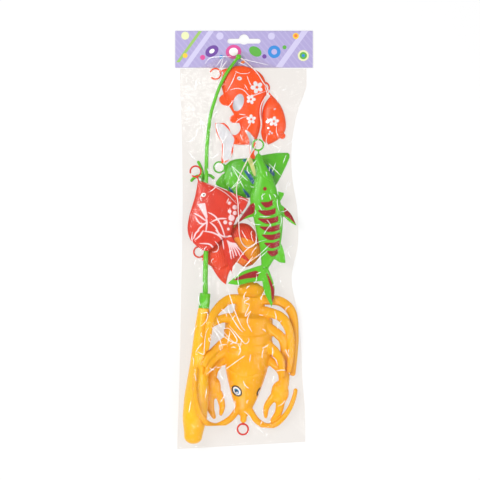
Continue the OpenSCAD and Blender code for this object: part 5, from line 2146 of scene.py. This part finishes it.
@dataclass
class Film(Maker):
    """Clear bag as one draped surface: front and back, welded at the foot.

    Laid open, it is as many metres wide and long as flat says.
    """

    margin: float = 0.35
    step: float = 1.0
    ceiling: float = 37.7
    back_z: float = 0.16
    rim_z: float = 0.55
    card_lift: float = 0.25
    pouch_x: float = -6.5
    pouch_half: float = 56.0
    reach: float = 20.0
    bow_y: float = 150.0
    weld: float = 3.0
    slant: float = 9.0
    foot_w: float = 156.0
    foot_l: float = 4.0
    rise_l: float = 103.0
    flat: tuple[float, float] = (0.31, 0.47)
    left: tuple[float, ...] = (-81, -79.5, -78, -77, -76, -75, -74.5, -75, -76, -77.5)
    right: tuple[float, ...] = (74.5, 74, 71, 69.5, 65, 58, 65.5, 64.8, 58.5, 58.5, 66, 76)
    rows: int = 300
    columns: int = 150
    coarse: int = 4
    coarse_moves: int = 900
    fine_moves: int = 260
    count: int = 120
    seed: int = 41
    fold_gap: float = 0.05

    def edges(self, y: Array) -> tuple[Array, Array]:
        """Left and right edge of the laid bag at places along it.

        Args:
            y: places along the bag.

        Returns:
            The left and the right edge.
        """
        share = np.clip((y - FOOT_Y) / (CARD_Y - 7 - FOOT_Y), 0.0, 1.0)
        left = spline([[v] for v in self.left], share)[:, 0]
        right = spline([[v] for v in self.right], share)[:, 0]
        return left + 0.6, right - 0.6

    def rise(self, x: Array) -> Array:
        """How far the slanted foot of the bag lies above its lowest corner."""
        return self.slant * (x - self.left[0]) / self.foot_w

    def raster(self, tops: Sequence[Array]) -> tuple[Array, Array, Array]:
        """Highest place of the toys over each cell of an even grid.

        Args:
            tops: points of each toy under the film.

        Returns:
            The cells' X, their Y, and the heights (y, x).
        """
        xs = np.arange(-84.0, 84.1, self.step)
        ys = np.arange(-252.0, 234.1, self.step)
        high = np.zeros((len(ys), len(xs)))
        for points in tops:
            i = np.clip(np.rint((points[:, 1] - ys[0]) / self.step).astype(int), 0, len(ys) - 1)
            j = np.clip(np.rint((points[:, 0] - xs[0]) / self.step).astype(int), 0, len(xs) - 1)
            np.maximum.at(high, (i, j), points[:, 2])
        wide = high.copy()
        for a in (-1, 0, 1):
            for b in (-1, 0, 1):
                wide = np.maximum(wide, np.roll(np.roll(high, a, 0), b, 1))
        return xs, ys, wide

    def drape(self, tops: Sequence[Array]) -> tuple[Array, Array, Array]:
        """Height of a stretched membrane that stays above the toys.

        Each cell moves to the mean of its four neighbours, never below the toys,
        until the sheet rests: first on a coarse grid and then on the fine one.

        Args:
            tops: points of each toy under the film.

        Returns:
            The cells' X, their Y, and the heights (y, x).
        """
        xs, ys, high = self.raster(tops)
        left, right = self.edges(ys)
        inside = (xs[None] > left[:, None]) & (xs[None] < right[:, None])
        foot = FOOT_Y + self.weld + self.rise(xs[None])
        inside &= (ys[:, None] > foot) & (ys[:, None] < CARD_Y + self.reach)
        rim = np.full(high.shape, self.rim_z)
        on_card = ys[:, None] > CARD_Y - 1.5
        rim = np.where(on_card & (np.abs(xs[None]) < CARD_W / 2), CARD_TOP_Z + self.card_lift, rim)
        floor = np.where(inside, np.maximum(high + self.margin, rim), rim)
        floor = np.minimum(floor, self.ceiling)
        part = np.s_[:: self.coarse, :: self.coarse]
        small_floor, small_in = floor[part], inside[part]
        small = small_floor
        for _ in range(self.coarse_moves):
            small = self.relaxed(small, small_floor, small_in)
        large = self.enlarged(small, floor.shape, self.coarse)
        z = np.where(inside, np.maximum(floor, large), rim)
        for _ in range(self.fine_moves):
            z = self.relaxed(z, floor, inside)
        return xs, ys, z

    @staticmethod
    def relaxed(z: Array, floor: Array, inside: Array) -> Array:
        """One move of every cell to the mean of its neighbours, held above the floor.

        Args:
            z: heights of the cells.
            floor: lowest height of each.
            inside: cells that may move.

        Returns:
            The new heights.
        """
        mean = 0.25 * (np.roll(z, 1, 0) + np.roll(z, -1, 0) + np.roll(z, 1, 1) + np.roll(z, -1, 1))
        return np.where(inside, np.maximum(mean, floor), z)

    @staticmethod
    def enlarged(small: Array, shape: tuple[int, int], factor: int) -> Array:
        """Coarse grid filled in between its cells, in a straight line each way.

        Args:
            small: the coarse grid.
            shape: rows and columns of the fine one.
            factor: fine cells to a coarse one.

        Returns:
            The fine grid.
        """
        rows = np.arange(shape[0]) / factor
        columns = np.arange(shape[1]) / factor
        first = np.stack([np.interp(rows, np.arange(small.shape[0]), c) for c in small.T], axis=1)
        return np.stack([np.interp(columns, np.arange(small.shape[1]), r) for r in first], axis=0)

    def height_at(self, x: Array, y: Array, field_of: tuple[Array, Array, Array]) -> Array:
        """Height of the drape at places, mixed from the four cells around each.

        Args:
            x: places across, in millimetres.
            y: places along.
            field_of: X, Y and heights of the drape.

        Returns:
            One height a place.
        """
        xs, ys, z = field_of
        u = np.clip((x - xs[0]) / self.step, 0, len(xs) - 1.001)
        v = np.clip((y - ys[0]) / self.step, 0, len(ys) - 1.001)
        j, i = u.astype(int), v.astype(int)
        fu, fv = u - j, v - i
        low = z[i, j] * (1 - fu) + z[i, j + 1] * fu
        top = z[i + 1, j] * (1 - fu) + z[i + 1, j + 1] * fu
        return low * (1 - fv) + top * fv

    def crumple(self, x: Array, y: Array) -> Array:
        """Small ridges of the film: bands where two stretched noises cross zero.

        Args:
            x: places across, in millimetres.
            y: places along.

        Returns:
            How far it lifts the film there.
        """
        wave = noise(x + 0.4 * y, y, 15.0, 3) + 0.5 * noise(x, y - 0.3 * x, 7.0, 5)
        ridge = np.exp(-((wave / 0.12) ** 2))
        return 0.5 * ridge + 0.35 * noise(x, y, 5.0, 11) ** 2

    def build(self) -> None:
        """Drapes the front, lays the back, and adds over them the folds: ridges painted white as
        highlights.
        """
        field_of = self.drape(self.shop.tops)
        ys = np.concatenate([
            np.linspace(FOOT_Y, FOOT_Y + self.foot_l, 6)[:-1],
            np.linspace(FOOT_Y + self.foot_l, CARD_Y + self.reach, self.rows),
        ])
        t = 0.5 - 0.5 * np.cos(np.linspace(0.0, math.pi, self.columns))
        t = 0.55 * t + 0.45 * steps(self.columns)
        left, right = self.edges(ys)
        x = left[:, None] * (1 - t) + right[:, None] * t
        lap = ease(1.0 - np.abs(x - self.pouch_x) / self.pouch_half)
        end_y = CARD_Y - 1.2 + (self.reach + 1.2) * lap
        bow = self.bow_y
        share = np.clip((ys - bow) / (CARD_Y + self.reach - bow), 0.0, 1.0)[:, None]
        y = np.where(ys[:, None] > bow, bow + share * (end_y - bow), ys[:, None])
        y = y + self.rise(x) * (1 - ease((ys[:, None] - FOOT_Y) / self.rise_l))
        z = self.height_at(x, y, field_of)
        edge = np.minimum(x - left[:, None], right[:, None] - x)
        free = ease(edge / 6.0) * ease((ys[:, None] - FOOT_Y - self.foot_l) / 8.0)
        free = free * ease((end_y - y) / 4.0)
        z = np.minimum(z + self.crumple(x, y) * free, self.ceiling)
        front = np.stack([x, y, z], axis=-1)
        back = front[:, ::-1].copy()
        back[..., 2] = self.back_z
        around = np.concatenate([front, back], axis=1)
        rows, columns, _ = around.shape
        patch = Patch(around.reshape(-1, 3), grid_faces(rows, columns, around=True))
        mesh = mesh_of("film", patch)
        film = self.shop.place("bag_film", mesh, FILM, Slot.FILM, "poly_bag", under_film=False)
        folds = [self.fold(k, field_of) for k in (*FOLDS, *self.small_folds())]
        fold_mesh = mesh_of("folds", joined(folds))
        # the folds carry painted highlights
        ribs = self.shop.place("bag_folds_painted_highlight", fold_mesh, FOLD_HIGHLIGHT_FILM, Slot.FILM, under_film=False)

    def small_folds(self) -> list[Array]:
        """Short bent folds at random places, most of them along the pull of the film.

        Each has three knots: a middle, and two ends at half its length either way
        along a direction that leans by up to 35 degrees from the length of the bag.

        Returns:
            Three knots a fold.
        """
        dice = np.random.default_rng(self.seed)
        x, y = dice.uniform(-70.0, 58.0, self.count), dice.uniform(-235.0, 196.0, self.count)
        lean = np.radians(dice.normal(8.0, 35.0, self.count))
        half = dice.uniform(2.0, 7.5, self.count)
        bow = dice.uniform(-1.6, 1.6, self.count)
        dx, dy = half * np.sin(lean), half * np.cos(lean)
        ends = [
            (x - dx, y - dy), (x + bow * np.cos(lean), y - bow * np.sin(lean)), (x + dx, y + dy)
        ]
        knots = np.stack([np.stack(pair, axis=1) for pair in ends], axis=1)
        return list(knots)

    def fold(self, knots: Knots, field_of: tuple[Array, Array, Array]) -> Patch:
        """Fold: a thin ridge on the film, widest in the middle of its run, painted white as a
        highlight.

        Args:
            knots: places along it.
            field_of: X, Y and heights of the drape.

        Returns:
            One open patch.
        """
        path = resampled(spline(knots, steps(60)), 1.0)
        n = len(path)
        t = steps(n)
        heading = np.gradient(path, axis=0)
        heading /= np.linalg.norm(heading, axis=1, keepdims=True)
        side = np.stack([-heading[:, 1], heading[:, 0]], axis=1)
        seed = int(abs(path[0, 0] * 7 + path[0, 1] * 3)) % 97
        wide = (0.16 + 0.44 * np.sin(math.pi * t) ** 0.6) * (
            0.75 + 0.35 * noise(t * 8.0, t, 1.0, seed)
        )
        across = np.array([-1.0, 0.0, 1.0])
        xy = path[:, None] + side[:, None] * (wide[:, None] * across)[..., None]
        x, y = xy[..., 0], xy[..., 1]
        z = self.height_at(x, y, field_of).max(axis=1, keepdims=True)
        z = z + self.crumple(x, y).max(axis=1, keepdims=True) + self.fold_gap
        z = z + np.array([0.0, 0.45, 0.0]) * wide[:, None]
        z = np.minimum(z, self.ceiling + 0.1)
        return sheet_patch(np.concatenate([xy, z[..., None]], axis=2)[:, ::-1])


FOLDS: tuple[Knots, ...] = (
    ((-10.6, 202.5), (-3.9, 199.7), (4.6, 200.0), (7.4, 202.0)),
    ((-9.4, 201.4), (-14.0, 189.9), (-20.7, 178.1)),
    ((-16.5, 179.8), (-8.9, 181.8), (-0.5, 179.8), (6.3, 173.1), (13.0, 173.9), (29.8, 179.8)),
    ((3.7, 196.7), (6.3, 189.9), (10.5, 181.5)), ((0.7, 186.6), (4.6, 179.8)),
    ((-5.9, 150.9), (2.0, 149.8)),
    ((-12.3, 136.9), (-7.2, 143.6), (-0.5, 147.0), (4.6, 147.8)), ((-4.7, 126.8), (-1.3, 118.4)),
    ((-14.8, 88.9), (4.6, 70.4)), ((-14.8, 88.9), (-0.5, 62.8)),
    ((-15.6, 61.1), (-7.2, 70.4), (-0.5, 77.1)),
    ((-14.0, 62.0), (-3.0, 70.4)), ((29.8, 91.4), (44.1, 77.1)), ((7.9, 63.6), (12.1, 63.1)),
    ((-46.8, 211.8), (-39.2, 219.4), (-15.6, 220.2)), ((-33.3, 208.4), (-25.7, 220.2)),
    ((-27.4, 205.9), (-20.7, 215.2)),
    ((-7.2, 213.5), (4.6, 208.4)), ((-3.0, 217.7), (29.8, 210.1)),
    ((-35.0, 193.3), (-28.3, 206.8), (-24.9, 220.2)),
    ((17.2, 41.8), (21.4, 35.0)),
    ((-20.0, -50.5), (-12.1, -32.9), (0.2, -14.4), (14.3, -3.8), (27.5, 0.6)),
    ((-10.3, -45.2), (3.8, -28.5), (17.8, -17.9), (31.0, -5.2)), ((-5.0, -39.0), (10.8, -19.7)),
    ((5.5, -35.5), (17.8, -22.3), (28.4, -12.6)),
    ((-35.0, -1.2), (-30.6, -7.4), (-32.3, -13.5), (-37.6, -14.4)),
    ((14.3, -40.8), (20.5, -38.2)),
    ((-20.0, -55.8), (-15.6, -70.7), (-10.3, -86.6), (-3.3, -102.4), (1.1, -107.7)),
    ((-19.1, -76.0), (-17.4, -86.6), (-6.8, -104.2), (-1.5, -109.5)),
    ((1.1, -69.0), (6.4, -69.8), (0.2, -74.2), (6.9, -76.9)),
    ((6.9, -76.9), (1.1, -91.0), (8.2, -84.8)), ((8.2, -84.8), (3.8, -97.1), (9.4, -109.5)),
    ((-25.3, -105.9), (-17.4, -105.9), (-8.6, -118.3), (-12.1, -121.8), (-25.3, -108.6)),
    ((-17.4, -102.4), (-6.8, -114.7), (1.1, -123.5), (5.5, -120.9), (5.5, -116.5)),
    ((-36.7, -100.7), (-27.9, -111.2), (-13.8, -121.8), (-1.5, -124.4)),
    ((-42.0, -104.2), (-45.5, -111.2), (-47.3, -127.1), (-48.2, -135.9), (-55.2, -133.2)),
    ((-38.5, -103.3), (-30.6, -114.7), (-26.2, -127.1), (-26.5, -130.2)),
    ((-15.6, -128.8), (-13.0, -127.4), (-9.4, -128.8)),
    ((-7.7, -123.5), (-4.2, -130.6), (-6.8, -137.6)), ((-21.8, -153.8), (1.1, -137.6)),
    ((-44.6, -159.6), (-32.3, -149.9)),
    ((-51.7, -88.3), (-43.8, -86.6), (-44.6, -95.4), (-51.7, -103.3)),
    ((-58.7, -157.9), (-57.0, -167.5)),
    ((19.6, -71.6), (24.9, -59.3)), ((17.8, -89.2), (23.1, -90.1)),
)


# Everything together


@dataclass
class FishingGame:
    """The whole pack: card, bag, rod, line, hook, fish and lobster."""

    board: Object
    shop: Workshop = field(default_factory=Workshop)

    def build(self) -> None:
        """Builds the toys first, and then the film over them."""
        line, path = FishingLine(self.shop).build()
        hook = Hook(self.shop).build()
        Rod(self.shop).build()
        fish = [
            skeleton_fish(), angelfish(), tropical_fish(), green_fish(), orange_fish(False),
            orange_fish(True),
        ]
        for toy in fish:
            toy.build(self.shop)
        Lobster(self.shop).build()
        card = CardPrint(self.shop)
        card.dress_card(self.board)
        card.build()
        Film(self.shop).build()

    @staticmethod
    def run(path: Array) -> float:
        """Length of a path in millimetres, in metres."""
        return float(np.linalg.norm(np.diff(path, axis=0), axis=1).sum()) * MM


def main() -> None:
    """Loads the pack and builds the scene."""
    logging.basicConfig(level=logging.INFO, format="%(name)s %(message)s")
    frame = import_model()
    Studio().build()
    FishingGame(frame["nodes"]["header_card"]).build()


if __name__ == "__main__":
    main()
